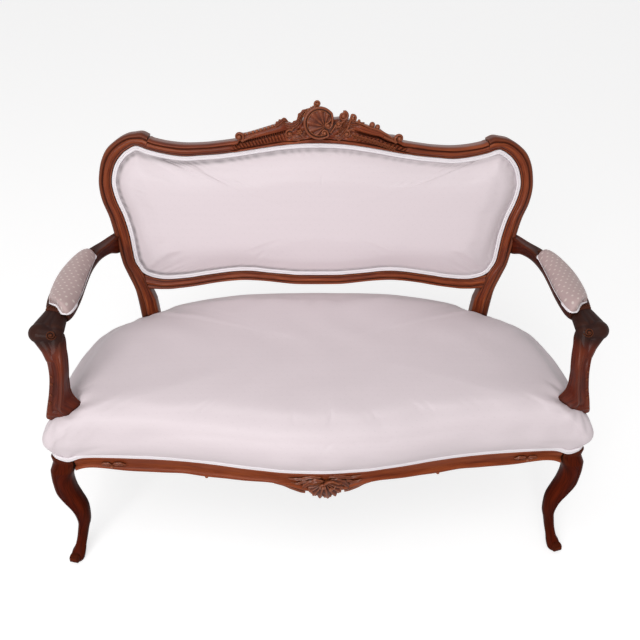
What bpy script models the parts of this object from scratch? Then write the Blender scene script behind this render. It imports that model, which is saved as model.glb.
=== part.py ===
"""A rococo settee: a carved walnut show frame with a shaped back, a serpentine seat and open padded arms.

Two back posts run from the floor to the ears of the back. A crest rail and a lower back rail join them, and
the four close in the upholstered panel. The seat frame is four rails between the posts and two cabriole front
legs, with glued corner blocks. The upholstery is webbing, springs, a canvas, a stuffed seat and a stuffed back.

Metres, +Z up, and the front faces -Y. The origin is on the floor under the middle of the settee. Outlines are
tables of shares, measured against the named sizes beside them. Shares at the back are written for the right
side, +X, and the left side mirrors them.
"""
from math import cos, hypot, pi, radians, sin, tan

import bmesh
import bpy
import numpy as np
from mathutils import Matrix, Vector

# Driving dimensions of the seat frame
seat_half_width = 0.660
seat_depth = 0.486
seat_bow = 0.058
rear_y = 0.211
corner_share = 0.0412
corner_radius = seat_depth * corner_share
rail_top_z = 0.385
ledge_z = 0.352
web_ledge_z = 0.335
show_height = 0.048
rail_thickness = 0.034
rebate = 0.010
skirt_thickness = 0.016
bead_rise = 0.003
front_corner_y = rear_y - seat_depth
seat_centre_y = rear_y - 0.54 * seat_depth

# Driving dimensions of the back frame, measured on the plane of its front face
back_width_share = 0.885
back_half_width = seat_half_width * back_width_share
panel_height = 0.412
lower_rail_lift = 0.052
back_z = 0.500
back_rake = radians(13)
leg_splay = radians(18)
bend_top = -0.085
bend_length = 0.140
moulding_rise = 0.012
frame_depth = 0.032
moulded_above = -0.100
plain_below = -0.150

# Front legs
block_width = 0.048
block_depth = 0.046
block_bottom_z = 0.328
block_corner = 0.004
knee_half = 0.029
foot_reach = 0.085
toe_radius = 0.0125
toe_length = 0.026
toe_lift = 0.015

# Arms, arm supports and arm pads
arm_height_share = 0.3735
arm_reach_share = 0.829
arm_root_share = 0.947
arm_spread_share = 1.075
arm_z = back_z + panel_height * arm_height_share * cos(back_rake)
arm_reach = seat_depth * arm_reach_share
arm_root_x = back_half_width * arm_root_share
arm_root_y = (arm_z - back_z) * tan(back_rake)
arm_half = 0.0345
arm_drop = 0.021
pad_crown = 0.032
support_inset = 0.028
support_setback = 0.056
support_foot_z = 0.449
support_x = seat_half_width - support_inset
support_y = front_corner_y - rear_y + support_setback
support_height_share = 0.85
support_height = (arm_z - support_foot_z) * support_height_share
support_half = 0.030
support_lean = 0.060
support_taper_x = 0.016
arm_spread = (support_x - arm_root_x) * arm_spread_share
volute_radius = 0.0205
volute_length = 0.038
volute_reach = 0.037
volute_lift = 0.027

# Joints and clearances
clearance = 0.0003
overrun = 0.004
weld_distance = 0.00001
tenon_thickness = 0.008
rail_tenon_low = 0.340
rail_tenon_split = 0.355
rail_tenon_high = 0.376
front_tenon_length = 0.020
side_tenon_length = 0.018
rear_tenon_length = 0.020
lower_tenon_length = 0.016
lower_tenon_height = 0.014
lower_tenon_set = 0.012
post_face_y = rear_y - 0.0305
post_face_z = 0.300
dowel_radius = 0.004
dowel_length = 0.036
arm_tenon_length = 0.050
arm_tenon_height = 0.028
support_tenon_length = 0.020

# Upholstery
seat_crown = 0.143
side_bulge = 0.008
corner_bulge = 0.012
swell_reach = 0.110
seat_piping_radius = 0.0035
back_piping_radius = 0.0036
arm_piping_radius = 0.0022
canvas_thickness = 0.0015
canvas_rise = 0.050
canvas_lap = 0.012
web_thickness = 0.0015
web_width = 0.050
web_pitch = 0.130
web_row_pitch = 0.092
cover_thickness = 0.0012
back_crown = 0.031
back_pad_depth = 0.006
back_cover_set = 0.0255
spring_radius = 0.040
spring_waist = 0.028
spring_wire = 0.002
spring_turns = 3
spring_pitch_x = 0.190
spring_pitch_y = 0.190
block_leg = 0.070

# Carving
cartouche_radius_share = 0.0995
cartouche_height_share = 1.119
cartouche_side_share = -0.005
cartouche_radius = panel_height * cartouche_radius_share
cartouche_x = back_half_width * cartouche_side_share
cartouche_h = panel_height * cartouche_height_share
cartouche_relief = 0.015
bead_radius = 0.0052
finial_radius = 0.0085
shell_width = 0.044
shell_drop = 0.062
shell_relief = 0.020

# The frame moulding: shares of the member's width from its inner edge, and of its rise or depth
moulding_shares = np.array([
    (0.00, -0.10), (0.04, 0.35), (0.15, 0.85), (0.27, 0.45), (0.42, 0.05), (0.58, 0.10), (0.71, 0.75),
    (0.84, 1.00), (0.96, 0.55), (1.00, -0.15), (1.00, -0.85), (0.90, -1.00), (0.10, -1.00), (0.00, -0.85),
])
leg_shares = np.array([
    (0.00, -0.10), (0.05, 0.30), (0.15, 0.50), (0.27, 0.50), (0.42, 0.50), (0.58, 0.50), (0.71, 0.50),
    (0.84, 0.50), (0.95, 0.30), (1.00, -0.10), (1.00, -0.85), (0.92, -1.00), (0.08, -1.00), (0.00, -0.85),
])
carved_shares = np.array([
    (0.00, -0.10), (0.03, 0.35), (0.10, 0.85), (0.17, 0.40), (0.26, 0.90), (0.42, 1.10), (0.58, 0.80),
    (0.74, 1.10), (0.94, 0.85), (1.00, -0.15), (1.00, -0.85), (0.90, -1.00), (0.10, -1.00), (0.00, -0.85),
])

# Back post above the seat: inner x, inner height, outer x, outer height
post_low_shares = [(0.795, -0.388, 0.877, -0.388), (0.795, -0.226, 0.882, -0.231),
                   (0.803, -0.102, 0.889, -0.102), (0.824, -0.010, 0.898, -0.007)]
post_ring_shares = [
    (0.844, 0.100, 0.926, 0.114), (0.877, 0.187, 0.940, 0.182), (0.885, 0.279, 0.950, 0.279),
    (0.890, 0.388, 0.961, 0.388), (0.906, 0.515, 0.974, 0.510), (0.930, 0.624, 0.995, 0.619),
    (0.940, 0.721, 1.000, 0.716), (0.932, 0.794, 0.991, 0.801), (0.911, 0.864, 0.974, 0.879),
    (0.877, 0.922, 0.945, 0.949), (0.842, 0.956, 0.901, 1.002), (0.818, 0.971, 0.856, 1.036),
    (0.796, 0.966, 0.818, 1.053), (0.779, 0.956, 0.784, 1.061), (0.769, 0.950, 0.755, 1.039),
]
leg_taper_shares = [(0.818, 0.877), (0.806, 0.877), (0.797, 0.877)]

# Crest rail: x and height of its lower edge, x and height of its plain top, and the carved top of each wing
crest_inner_shares = [(0.00, 1.000), (0.09, 0.996), (0.18, 0.983), (0.27, 0.964), (0.36, 0.943), (0.45, 0.925),
                      (0.54, 0.915), (0.60, 0.909), (0.65, 0.914), (0.71, 0.929), (0.769, 0.950)]
crest_plain_shares = [(0.36, 1.020), (0.40, 1.013), (0.45, 1.004), (0.51, 0.995), (0.58, 0.990), (0.63, 0.991),
                      (0.68, 0.999), (0.72, 1.008), (0.755, 1.019)]
crest_carved_shares = [
    (-0.366, 1.021), (-0.356, 1.055), (-0.334, 1.054), (-0.267, 1.083), (-0.180, 1.124), (-0.157, 1.134),
    (-0.130, 1.122), (-0.112, 1.117), (-0.092, 1.160), (-0.070, 1.180), (-0.050, 1.206), (-0.026, 1.218),
    (0.000, 1.220), (0.021, 1.211), (0.038, 1.194), (0.060, 1.180), (0.096, 1.184), (0.127, 1.170),
    (0.160, 1.140), (0.217, 1.112), (0.255, 1.102), (0.310, 1.046), (0.341, 1.056), (0.365, 1.021),
]
crest_station_shares = [0.0, 0.021, 0.045, 0.070, 0.096, 0.127, 0.157, 0.19, 0.225, 0.262, 0.30, 0.334, 0.356,
                        0.366, 0.42, 0.48, 0.54, 0.60, 0.65, 0.69, 0.73]

# Lower back rail: x, height of its top edge and of its lower edge
lower_rail_shares = [
    (0.000, 0.75, 0.19), (0.100, 0.76, 0.20), (0.154, 0.81, 0.25), (0.205, 0.86, 0.32), (0.257, 0.92, 0.39),
    (0.308, 0.99, 0.43), (0.360, 1.01, 0.45), (0.410, 0.98, 0.42), (0.460, 0.91, 0.36), (0.514, 0.82, 0.27),
    (0.570, 0.72, 0.15), (0.617, 0.625, 0.06), (0.668, 0.56, -0.02), (0.720, 0.51, -0.09), (0.770, 0.52, -0.10),
]

# Seat plan: across the front x and bow, then down the side x and depth
front_shares = [(0.00, 1.00), (0.09, 0.96), (0.16, 0.90), (0.22, 0.80), (0.30, 0.66), (0.38, 0.49), (0.46, 0.34),
                (0.54, 0.22), (0.62, 0.13), (0.70, 0.07), (0.78, 0.02), (0.85, -0.01), (0.918, 0.00)]
side_shares = [(1.000, 0.095), (0.996, 0.280), (0.979, 0.465), (0.948, 0.609), (0.903, 0.733), (0.847, 0.835),
               (0.800, 0.901), (0.760, 0.955), (0.715, 0.990), (0.667, 1.000)]
front_drop_shares = [(0.00, 1.34), (0.09, 1.22), (0.15, 0.98), (0.205, 0.87), (0.29, 0.96), (0.36, 1.01),
                     (0.44, 1.07), (0.52, 0.98), (0.59, 1.04), (0.67, 1.02), (0.74, 0.95), (0.83, 0.71), (0.95, 0.52)]
side_drop_shares = [(0.09, 0.52), (0.20, 0.80), (0.40, 1.00), (0.60, 0.98), (0.80, 0.80), (1.00, 0.60)]

# Front leg: height, offset across and forward in shares of the reach, half width in shares of the knee
leg_shape_shares = [
    (0.000, 0.235, 0.965, 0.50), (0.018, 0.235, 0.990, 0.62), (0.061, 0.190, 0.920, 0.62),
    (0.104, 0.125, 0.810, 0.50), (0.168, 0.055, 0.650, 0.47), (0.260, -0.030, 0.530, 0.49),
    (0.335, -0.100, 0.460, 0.55), (0.427, -0.105, 0.400, 0.64), (0.503, -0.055, 0.340, 0.74),
    (0.588, 0.070, 0.280, 0.82), (0.686, 0.175, 0.235, 0.87), (0.800, 0.190, 0.200, 0.86),
    (0.915, 0.130, 0.140, 0.85),
]

# Arm: outward and forward shares of its spread and reach, drop, half width and half height in shares
arm_shape_shares = [
    (-0.13, -0.034, 1.05, 0.42, 0.80), (0.04, 0.028, 1.00, 0.52, 0.80), (0.26, 0.109, 0.48, 0.50, 0.52),
    (0.53, 0.221, 0.10, 0.56, 0.47), (0.74, 0.370, 0.00, 0.72, 0.45), (0.825, 0.531, 0.00, 0.93, 0.45),
    (0.820, 0.692, 0.00, 0.98, 0.45), (0.788, 0.804, 0.00, 0.90, 0.48), (0.812, 0.880, 0.00, 0.85, 0.55),
    (0.910, 0.938, 0.20, 1.02, 0.72), (1.010, 0.988, 0.60, 0.92, 0.76), (1.080, 1.026, 1.15, 0.50, 0.52),
]
pad_first_row = 3
pad_last_row = 8
pad_cover_share = 0.92
pad_length_share = 0.950
arm_section_shares = [(-0.92, 1.00), (0.92, 1.00), (0.99, 0.62), (1.00, 0.10), (0.90, -0.50), (0.55, -0.94),
                      (-0.55, -0.94), (-0.90, -0.50), (-1.00, 0.10), (-0.99, 0.62)]
pad_section_shares = [(-0.90, 0.00), (-0.94, 0.22), (-0.83, 0.55), (-0.50, 0.88), (0.00, 1.00), (0.50, 0.88),
                      (0.83, 0.55), (0.94, 0.22), (0.90, 0.00)]

# Arm support: height, sideways taper, lean and half sizes in shares
support_shape_shares = [
    (-0.400, -0.12, 0.00, 0.60, 0.53), (-0.060, -0.12, 0.00, 0.60, 0.56), (0.000, -0.18, 0.00, 0.80, 0.68),
    (0.076, -0.12, 0.02, 0.80, 0.70), (0.240, 0.30, 0.08, 0.78, 0.66), (0.440, 0.81, 0.20, 0.75, 0.63),
    (0.680, 1.31, 0.35, 0.72, 0.62), (0.850, 1.40, 0.60, 0.75, 0.66), (1.080, 1.20, 0.80, 0.84, 0.75),
]

# Upholstery sections: the wall's bulge, corner radius, corner swell, rise and more rise at the rear; then how far
# in each ring of the crown lies and how high it stands in front and at the rear
seat_wall_shares = [(1.0, 1.6, 1.0, 0.24, 0.06), (0.2, 2.0, 0.5, 0.48, 0.14)]
soft_corner_share = 2.2
wall_fall_share = 0.62
crown_fall_share = 0.72
seat_ring_shares = [(0.965, 0.70, 0.90), (0.905, 0.83, 0.955), (0.78, 0.915, 0.980), (0.42, 0.985, 0.995)]
back_ring_shares = [(0.92, 0.68), (0.76, 0.87), (0.40, 0.98)]
canvas_flat_share = 0.87

scene_collection = bpy.context.scene.collection


def clear_scene():
    for thing in list(bpy.data.objects):
        bpy.data.objects.remove(thing, do_unlink=True)


def new_collection(name):
    made = bpy.data.collections.new(name)
    scene_collection.children.link(made)
    return made


def finish_material(name, colour, roughness, metallic=0.0):
    """A plain finish: sRGB shares of red, green and blue turned to linear light."""
    made = bpy.data.materials.new(name)
    made.use_nodes = True
    shader = made.node_tree.nodes["Principled BSDF"]
    linear = [((share + 0.055) / 1.055) ** 2.4 for share in colour]
    shader.inputs["Base Color"].default_value = (*linear, 1)
    shader.inputs["Roughness"].default_value = roughness
    shader.inputs["Metallic"].default_value = metallic
    made.diffuse_color = (*linear, 1)
    return made


def smooth_rows(rows, steps=2):
    """A smooth curve through the rows of a table, with the given number of steps from row to row."""
    rows = np.array(rows, float)
    padded = np.vstack([2 * rows[0] - rows[1], rows, 2 * rows[-1] - rows[-2]])
    share = np.linspace(0, 1, steps, endpoint=False)[:, None]
    curve = []
    for before, start, end, after in zip(padded, padded[1:], padded[2:], padded[3:]):
        bend = 2 * before - 5 * start + 4 * end - after
        twist = 3 * start - before - 3 * end + after
        curve.append((2 * start + (end - before) * share + bend * share ** 2 + twist * share ** 3) / 2)
    return np.vstack(curve + [rows[-1:]])


def put(mesh, name, material, collection):
    """An object for a mesh, smooth over its curves and sharp at its edges."""
    made = bpy.data.objects.new(name, mesh)
    collection.objects.link(made)
    made.parent = settee
    if collection is cutters:
        made.hide_render = True
        made.display_type = "WIRE"
        return made
    mesh.materials.append(material)
    mesh.shade_smooth()
    mesh.set_sharp_from_angle(angle=radians(40))
    return made


def skin(name, rings, material, collection=None, low=None, high=None):
    """A closed skin over rings with the same number of points. Each end is one flat face, or a fan to a point."""
    rings = np.array(rings, float)
    count = rings.shape[1]
    grid = np.arange(len(rings) * count).reshape(-1, count)
    turned = np.roll(grid, -1, axis=1)
    quads = np.stack([grid[:-1], turned[:-1], turned[1:], grid[1:]], axis=-1).reshape(-1, 4)
    faces = np.vstack([quads[:, [0, 1, 2]], quads[:, [0, 2, 3]]]).tolist()
    points = rings.reshape(-1, 3).tolist()
    for ring, turn, centre in ((grid[0], turned[0], low), (grid[-1], turned[-1], high)):
        if centre is None:
            faces.append(ring.tolist())
            continue
        points.append(centre)
        faces += [[a, b, len(points) - 1] for a, b in zip(ring.tolist(), turn.tolist())]
    mesh = bpy.data.meshes.new(name)
    mesh.from_pydata(points, [], faces)
    work = bmesh.new()
    work.from_mesh(mesh)
    bmesh.ops.remove_doubles(work, verts=work.verts, dist=weld_distance)
    bmesh.ops.recalc_face_normals(work, faces=work.faces)
    work.to_mesh(mesh)
    work.free()
    return put(mesh, name, material, collection or pieces)


def box(name, low, high, material=None, collection=None):
    """An upright box between two corners."""
    low, high = Vector(low), Vector(high)
    work = bmesh.new()
    size = high - low
    place = Matrix.Translation((low + high) / 2) @ Matrix.Diagonal((size.x, size.y, size.z, 1))
    bmesh.ops.create_cube(work, size=1, matrix=place)
    mesh = bpy.data.meshes.new(name)
    work.to_mesh(mesh)
    work.free()
    return put(mesh, name, material, collection or pieces)


def rod(name, start, end, radius, material=None, collection=None, sides=12):
    """A round rod between two points."""
    start, end = Vector(start), Vector(end)
    work = bmesh.new()
    place = Matrix.Translation((start + end) / 2) @ (end - start).to_track_quat("Z", "Y").to_matrix().to_4x4()
    bmesh.ops.create_cone(work, cap_ends=True, segments=sides, radius1=radius, radius2=radius,
                          depth=(end - start).length, matrix=place)
    mesh = bpy.data.meshes.new(name)
    work.to_mesh(mesh)
    work.free()
    return put(mesh, name, material, collection or pieces)


def ball(name, centre, radius, collection=None):
    """A small round bead of carving."""
    work = bmesh.new()
    place = Matrix.Translation(Vector(centre))
    bmesh.ops.create_uvsphere(work, u_segments=6, v_segments=4, radius=radius, matrix=place)
    mesh = bpy.data.meshes.new(name)
    work.to_mesh(mesh)
    work.free()
    return put(mesh, name, None, collection or cutters)


def tube(name, points, radius, material, closed=False, sides_level=1):
    """A cord or wire: a curve with a round section."""
    curve = bpy.data.curves.new(name, "CURVE")
    curve.dimensions = "3D"
    curve.bevel_depth = radius
    curve.bevel_resolution = sides_level
    curve.use_fill_caps = True
    run = curve.splines.new("POLY")
    run.points.add(len(points) - 1)
    run.points.foreach_set("co", np.hstack([points, np.ones((len(points), 1))]).ravel())
    run.use_cyclic_u = closed
    curve.materials.append(material)
    made = bpy.data.objects.new(name, curve)
    pieces.objects.link(made)
    made.parent = settee
    return made


def combine(target, others, operation):
    for other in others:
        step = target.modifiers.new(other.name, "BOOLEAN")
        step.operation = operation
        step.solver = "EXACT"
        step.object = other


def cut(target, *others):
    combine(target, others, "DIFFERENCE")


def join(target, *others):
    combine(target, others, "UNION")


def flip(points, side):
    """The same points for the right side, 1, or mirrored for the left side, -1."""
    return np.array(points) * (side, 1, 1)


def side_name(side):
    return "right" if side > 0 else "left"


# Back frame

def back_line(height):
    """Where the front face of the back runs: straight and raked above, bent at the seat, splayed below."""
    radius = bend_length / (back_rake + leg_splay)
    lean = np.clip(back_rake - (bend_top - height) / radius, -leg_splay, back_rake)
    above = np.maximum(height - bend_top, 0)
    below = np.maximum(bend_top - bend_length - height, 0)
    y = rear_y + bend_top * sin(back_rake) + radius * (cos(back_rake) - np.cos(lean))
    z = back_z + bend_top * cos(back_rake) - radius * (sin(back_rake) - np.sin(lean))
    return y + above * sin(back_rake) + below * sin(leg_splay), z + above * cos(back_rake) - below * cos(leg_splay), lean


def back_point(x, height, forward):
    """A point of the back by its place on the front face and its distance in front of it."""
    y, z, lean = back_line(np.asarray(height, float))
    x, y, z, lean, forward = np.broadcast_arrays(x, y, z, lean, forward)
    return np.stack([x, y - forward * np.cos(lean), z + forward * np.sin(lean)], axis=-1)


def back_box(name, centre, size, collection=None):
    """A box square to the raked back: centre and size across, up and forward."""
    corners = [(-1, -1), (1, -1), (1, 1), (-1, 1)]
    rings = [[back_point(centre[0] + end * size[0] / 2, centre[1] + a * size[1] / 2, centre[2] + b * size[2] / 2)
              for a, b in corners] for end in (-1, 1)]
    return skin(name, rings, None, collection or cutters)


def frame_ring(inner, outer, shares, grow=0.0):
    """One section of a moulded member between a point of its inner edge and one of its outer edge."""
    inner, outer = np.array(inner), np.array(outer)
    across = outer - inner
    unit = across / np.linalg.norm(across)
    place = inner + shares[:, :1] * across + unit * grow * (2 * shares[:, :1] - 1)
    forward = shares[:, 1] * np.where(shares[:, 1] > 0, moulding_rise, frame_depth)
    forward = forward + grow * np.where(shares[:, 1] > -0.5, 1, -1)
    return back_point(place[:, 0], place[:, 1], forward)


def leg_end_height():
    """The height on the back's line, negative, at which the splayed leg meets the floor."""
    bend_bottom = bend_top - bend_length
    z_left = back_line(np.array(bend_bottom))[1]
    return bend_bottom - float(z_left) / cos(leg_splay)


def post_rows():
    """Rows of inner x, inner height, outer x and outer height, from the floor to the tip of the ear."""
    unit = np.array([back_half_width, panel_height] * 2)
    low = smooth_rows(np.array(post_low_shares) * unit, 1)
    ring = np.array(post_ring_shares) * unit
    ring = np.vstack([smooth_rows(ring[:9], 1)[:-1], smooth_rows(ring, 2)[16:]])
    foot = leg_end_height()
    heights = np.linspace(foot, low[0, 1], len(leg_taper_shares), endpoint=False)
    leg = [(a * back_half_width, h, b * back_half_width, h) for (a, b), h in zip(leg_taper_shares, heights)]
    return np.vstack([leg, low, ring])


def post_rings(grow=0.0):
    rings = []
    for inner_x, inner_h, outer_x, outer_h in post_rows():
        share = np.clip((inner_h - plain_below) / (moulded_above - plain_below), 0, 1)
        section = leg_shares + share * (moulding_shares - leg_shares)
        rings.append(frame_ring((inner_x, inner_h), (outer_x, outer_h), section, grow))
    foot = rings[0]
    slide = foot[:, 2] / cos(leg_splay)
    rings[0] = foot + np.outer(slide, (0, sin(leg_splay), -cos(leg_splay)))
    return rings


def post_cutter(side, name):
    """The post's own shape with the clearance round it, for what fits against it."""
    return skin(name + "_" + side_name(side), [flip(ring, side) for ring in post_rings(2 * clearance)], None, cutters)


def rail_seat(side):
    """The flat housing on the front of a back post that the side rail butts against."""
    low_x, high_x = sorted((side * (back_half_width * 0.795 - overrun), side * (back_half_width * 0.9 + overrun)))
    return box("rail_seat_" + side_name(side), (low_x, post_face_y - 6 * overrun, post_face_z),
               (high_x, post_face_y, rail_top_z + clearance), None, cutters)


def rail_tenon(name, low, high, side, grow=0.0):
    """A tenon given by its corners on the right side, mirrored and grown when it is a mortise."""
    low = np.array(low) - grow
    high = np.array(high) + grow
    (low[0], high[0]) = sorted((side * low[0], side * high[0]))
    return box(name + "_" + side_name(side), low, high, None, cutters)


def rear_tenon(side, grow=0.0):
    start = post_inner_x() - overrun
    middle = rear_y - 0.56 * rail_thickness
    return rail_tenon("rear_mortise" if grow else "rear_tenon", (start, middle - tenon_thickness / 2, rail_tenon_low),
                      (post_inner_x() + rear_tenon_length, middle + tenon_thickness / 2, rail_tenon_split), side, grow)


def post_inner_x():
    return post_low_shares[0][0] * back_half_width


def side_rear_tenon(side, grow=0.0):
    middle = post_inner_x() + rail_thickness / 2
    return rail_tenon("side_rear_mortise" if grow else "side_rear_tenon",
                      (middle - tenon_thickness / 2, post_face_y - overrun, rail_tenon_split + overrun),
                      (middle + tenon_thickness / 2, post_face_y + side_tenon_length, rail_tenon_high), side, grow)


def lower_tenon(side, grow=0.0):
    joint_x = post_low_shares[-1][0] * back_half_width
    length = lower_tenon_length + 2 * overrun
    centre = (side * (joint_x + length / 2 - overrun), lower_rail_lift * 0.34, -lower_tenon_set)
    size = (length + 2 * grow, lower_tenon_height + 2 * grow, tenon_thickness + 2 * grow)
    name = "lower_mortise_" if grow else "lower_tenon_"
    return back_box(name + side_name(side), centre, size)


def dowel_ends(side, grow=0.0):
    """Both ends of the dowel that crosses the joint of crest rail and ear."""
    joint_x = (post_ring_shares[-1][0] + post_ring_shares[-1][2]) / 2 * back_half_width
    height = (post_ring_shares[-1][1] + crest_plain_shares[-1][1]) / 2 * panel_height
    half = dowel_length / 2 + grow
    return [back_point(side * (joint_x + end * half), height, -lower_tenon_set) for end in (-1, 1)]


def dowel_hole(side, name):
    start, end = dowel_ends(side, clearance)
    return rod(name + "_" + side_name(side), start, end, dowel_radius + clearance, None, cutters)


def arm_tenon(side, grow=0.0):
    y = rear_y + arm_root_y + tenon_thickness / 2
    middle = arm_z - arm_drop * 0.85
    return rail_tenon("arm_mortise" if grow else "arm_tenon",
                      (arm_root_x - arm_tenon_length / 2, y - tenon_thickness / 2, middle - arm_tenon_height / 2),
                      (arm_root_x + arm_tenon_length / 2, y + tenon_thickness / 2, middle + arm_tenon_height / 2),
                      side, grow)


def back_post(side):
    """Rear leg, stile and ear in one piece, with mortises for the rails, the arm and the crest dowel."""
    post = skin("back_post_" + side_name(side), [flip(ring, side) for ring in post_rings()], walnut)
    cut(post, rail_seat(side), rear_tenon(side, clearance), side_rear_tenon(side, clearance),
        lower_tenon(side, clearance), arm_tenon(side, clearance), dowel_hole(side, "post_dowel_hole"))
    return post


def crest_top(x_share):
    """The top outline of the crest rail: carved between the end scrolls and plain outside them."""
    carved = np.array(crest_carved_shares)
    plain = smooth_rows(crest_plain_shares, 3)
    if carved[0, 0] <= x_share <= carved[-1, 0]:
        return np.interp(x_share, carved[:, 0], carved[:, 1])
    return np.interp(abs(x_share), plain[:, 0], plain[:, 1])


def crest_stations():
    """Rows of lower x and height and upper x and height, from the left joint to the right joint."""
    inner = smooth_rows(crest_inner_shares, 3)
    rows = []
    for share in crest_station_shares:
        rows.append((share, np.interp(share, inner[:, 0], inner[:, 1]), share, crest_top(share)))
    end_inner, end_outer = crest_inner_shares[-1], crest_plain_shares[-1]
    gap_share = clearance / back_half_width
    rows.append((end_inner[0] - gap_share, end_inner[1], end_outer[0] - gap_share, end_outer[1]))
    left = [(-a, b, -c, crest_top(-c) if c < 0.5 else d) for a, b, c, d in rows[:0:-1]]
    return np.array(left + rows) * [back_half_width, panel_height, back_half_width, panel_height]


def crest_bumps():
    """Places and sizes of the round carving on the crest: scroll ends, leaf curls and a row of beads."""
    bumps = [(-0.357, 1.036, 0.9), (0.345, 1.046, 0.95), (0.098, 1.172, 0.9), (0.140, 1.160, 0.8),
             (0.230, 1.118, 0.6), (0.254, 1.102, 0.6), (-0.139, 1.046, 0.85), (0.122, 1.051, 0.8)]
    width = carving_unit
    made = [(x * back_half_width, h * panel_height, size * width) for x, h, size in bumps]
    for step in range(6):
        share = -0.320 + 0.028 * step
        made.append((share * back_half_width, (crest_top(share) + 0.004) * panel_height, bead_radius))
    return made


carving_unit = 0.010


def crest_rail():
    rings = []
    for inner_x, inner_h, outer_x, outer_h in crest_stations():
        share = np.clip((0.40 - abs(inner_x) / back_half_width) / 0.04, 0, 1)
        rings.append(frame_ring((inner_x, inner_h), (outer_x, outer_h),
                                moulding_shares + share * (carved_shares - moulding_shares)))
    crest = skin("crest_rail", rings, walnut)
    for number, (x, height, radius) in enumerate(crest_bumps()):
        forward = 0 if height > crest_top(x / back_half_width) * panel_height - radius else moulding_rise
        join(crest, ball("crest_bump_%02d" % number, back_point(x, height, forward), radius))
    join(crest, ball("crest_finial", back_point(-0.017 * back_half_width, 1.229 * panel_height, 0), finial_radius))
    for side in (-1, 1):
        cut(crest, dowel_hole(side, "crest_dowel_hole"))
    return crest


def crest_dowel(side):
    start, end = dowel_ends(side)
    return rod("crest_dowel_" + side_name(side), start, end, dowel_radius, beech)


def crest_cartouche():
    """The carved shell in its C-scroll: a disc whose face is a ring of bead round a fan of nine flutes."""
    turns = np.linspace(0, 2 * pi, 27, endpoint=False)
    back_face = moulding_rise * 1.10 + clearance
    hinge_x, hinge_h = 0.32 * cartouche_radius, -0.18 * cartouche_radius
    levels = [(1.0, 0.0), (1.0, 0.30), (0.94, 0.68), (0.86, 0.74), (0.78, 0.40), (0.74, 0.26), (0.45, 0.46),
              (0.15, 0.62)]
    rings = []
    for share, relief in levels:
        x = share * cartouche_radius * np.cos(turns)
        h = share * cartouche_radius * np.sin(turns)
        inside = 1 - share
        flute = np.cos(9 * turns) * 0.22 * inside * (share < 0.75)
        rings.append(back_point(cartouche_x + x + hinge_x * inside ** 2, cartouche_h + h + hinge_h * inside ** 2,
                                back_face + cartouche_relief * (relief + flute)))
    centre = back_point(cartouche_x, cartouche_h, back_face)
    crown = back_point(cartouche_x + hinge_x, cartouche_h + hinge_h, back_face + cartouche_relief * 0.7)
    shell = skin("crest_cartouche", rings, walnut, None, centre.tolist(), crown.tolist())
    curl = 0.6 * carving_unit
    for number, (x, height) in enumerate([(0.40, 0.42), (0.16, -0.12), (-0.50, 0.95)]):
        place = back_point(cartouche_x + x * cartouche_radius / 0.6, cartouche_h + (height - 0.55) * cartouche_radius,
                           back_face + curl * 1.02)
        join(shell, ball("cartouche_curl_%d" % number, place, curl))
    return shell


def lower_back_rail():
    """The moulded lower rail of the back, with a tenon at each end."""
    table = smooth_rows(lower_rail_shares, 1)
    scale = [back_half_width, lower_rail_lift, lower_rail_lift]
    half = [(x, top, x, bottom) for x, top, bottom in table * scale]
    low, high = np.array(post_low_shares[-1]), np.array(post_ring_shares[0])
    unit = [back_half_width, panel_height]
    half.append((*(high[:2] * unit - [clearance, 0]), *(low[:2] * unit - [clearance, 0])))
    left = [(-a, b, -c, d) for a, b, c, d in half[:0:-1]]
    rings = [frame_ring(row[:2], row[2:], moulding_shares) for row in np.array(left + half)]
    rail = skin("lower_back_rail", rings, walnut)
    for side in (-1, 1):
        join(rail, lower_tenon(side))
    return rail


def mirrored_loop(right_half):
    """A closed loop from its right half, which starts and ends on the middle line."""
    right_half = np.array(right_half)
    left_half = right_half[-2:0:-1] * [-1, 1]
    return np.vstack([right_half, left_half])


def inset(loop, distance):
    """A closed loop moved inwards by a distance, square to each of its runs."""
    ahead = np.roll(loop, -1, axis=0) - loop
    normal = np.stack([-ahead[:, 1], ahead[:, 0]], axis=1)
    normal /= np.linalg.norm(normal, axis=1, keepdims=True)
    before = np.roll(normal, 1, axis=0)
    mitre = (normal + before) / (1 + (normal * before).sum(axis=1, keepdims=True))
    return loop + mitre * distance


def panel_loop():
    """The inner edge of the back frame: x and height, through the same points as the frame's members."""
    lower = [(x * back_half_width, top * lower_rail_lift) for x, top, _ in lower_rail_shares]
    rows = post_rows()
    ring_start = len(leg_taper_shares) + len(post_low_shares)
    crest = crest_stations()
    right_crest = crest[crest[:, 0] >= 0][::-1][1:, :2]
    return mirrored_loop(np.vstack([lower, rows[ring_start:, :2], right_crest]))


def on_back(loop, forward):
    return back_point(loop[:, 0], loop[:, 1], forward)


def scaled(loop, centre, share):
    return centre + (loop - centre) * share


def back_cushion():
    """The stuffed back: flat behind, drawn in at the piping and crowned in the middle."""
    edge = inset(panel_loop(), 2 * back_piping_radius + 2 * clearance)
    middle = np.array([0, panel_height * 0.53])
    rings = [on_back(edge, -back_pad_depth), on_back(edge, back_pad_depth / 2)]
    rings.append(on_back(inset(edge, back_pad_depth), 0.42 * back_crown))
    for share, rise in back_ring_shares:
        rings.append(on_back(scaled(edge, middle, share), rise * back_crown))
    low = back_point(0, middle[1], -back_pad_depth).tolist()
    high = back_point(0, middle[1], back_crown).tolist()
    return skin("back_cushion", rings, satin, None, low, high)


def back_piping():
    loop = inset(panel_loop(), back_piping_radius + clearance)
    return tube("back_piping", on_back(loop, back_piping_radius * 0.4), back_piping_radius, cord_cloth, True, 0)


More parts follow.
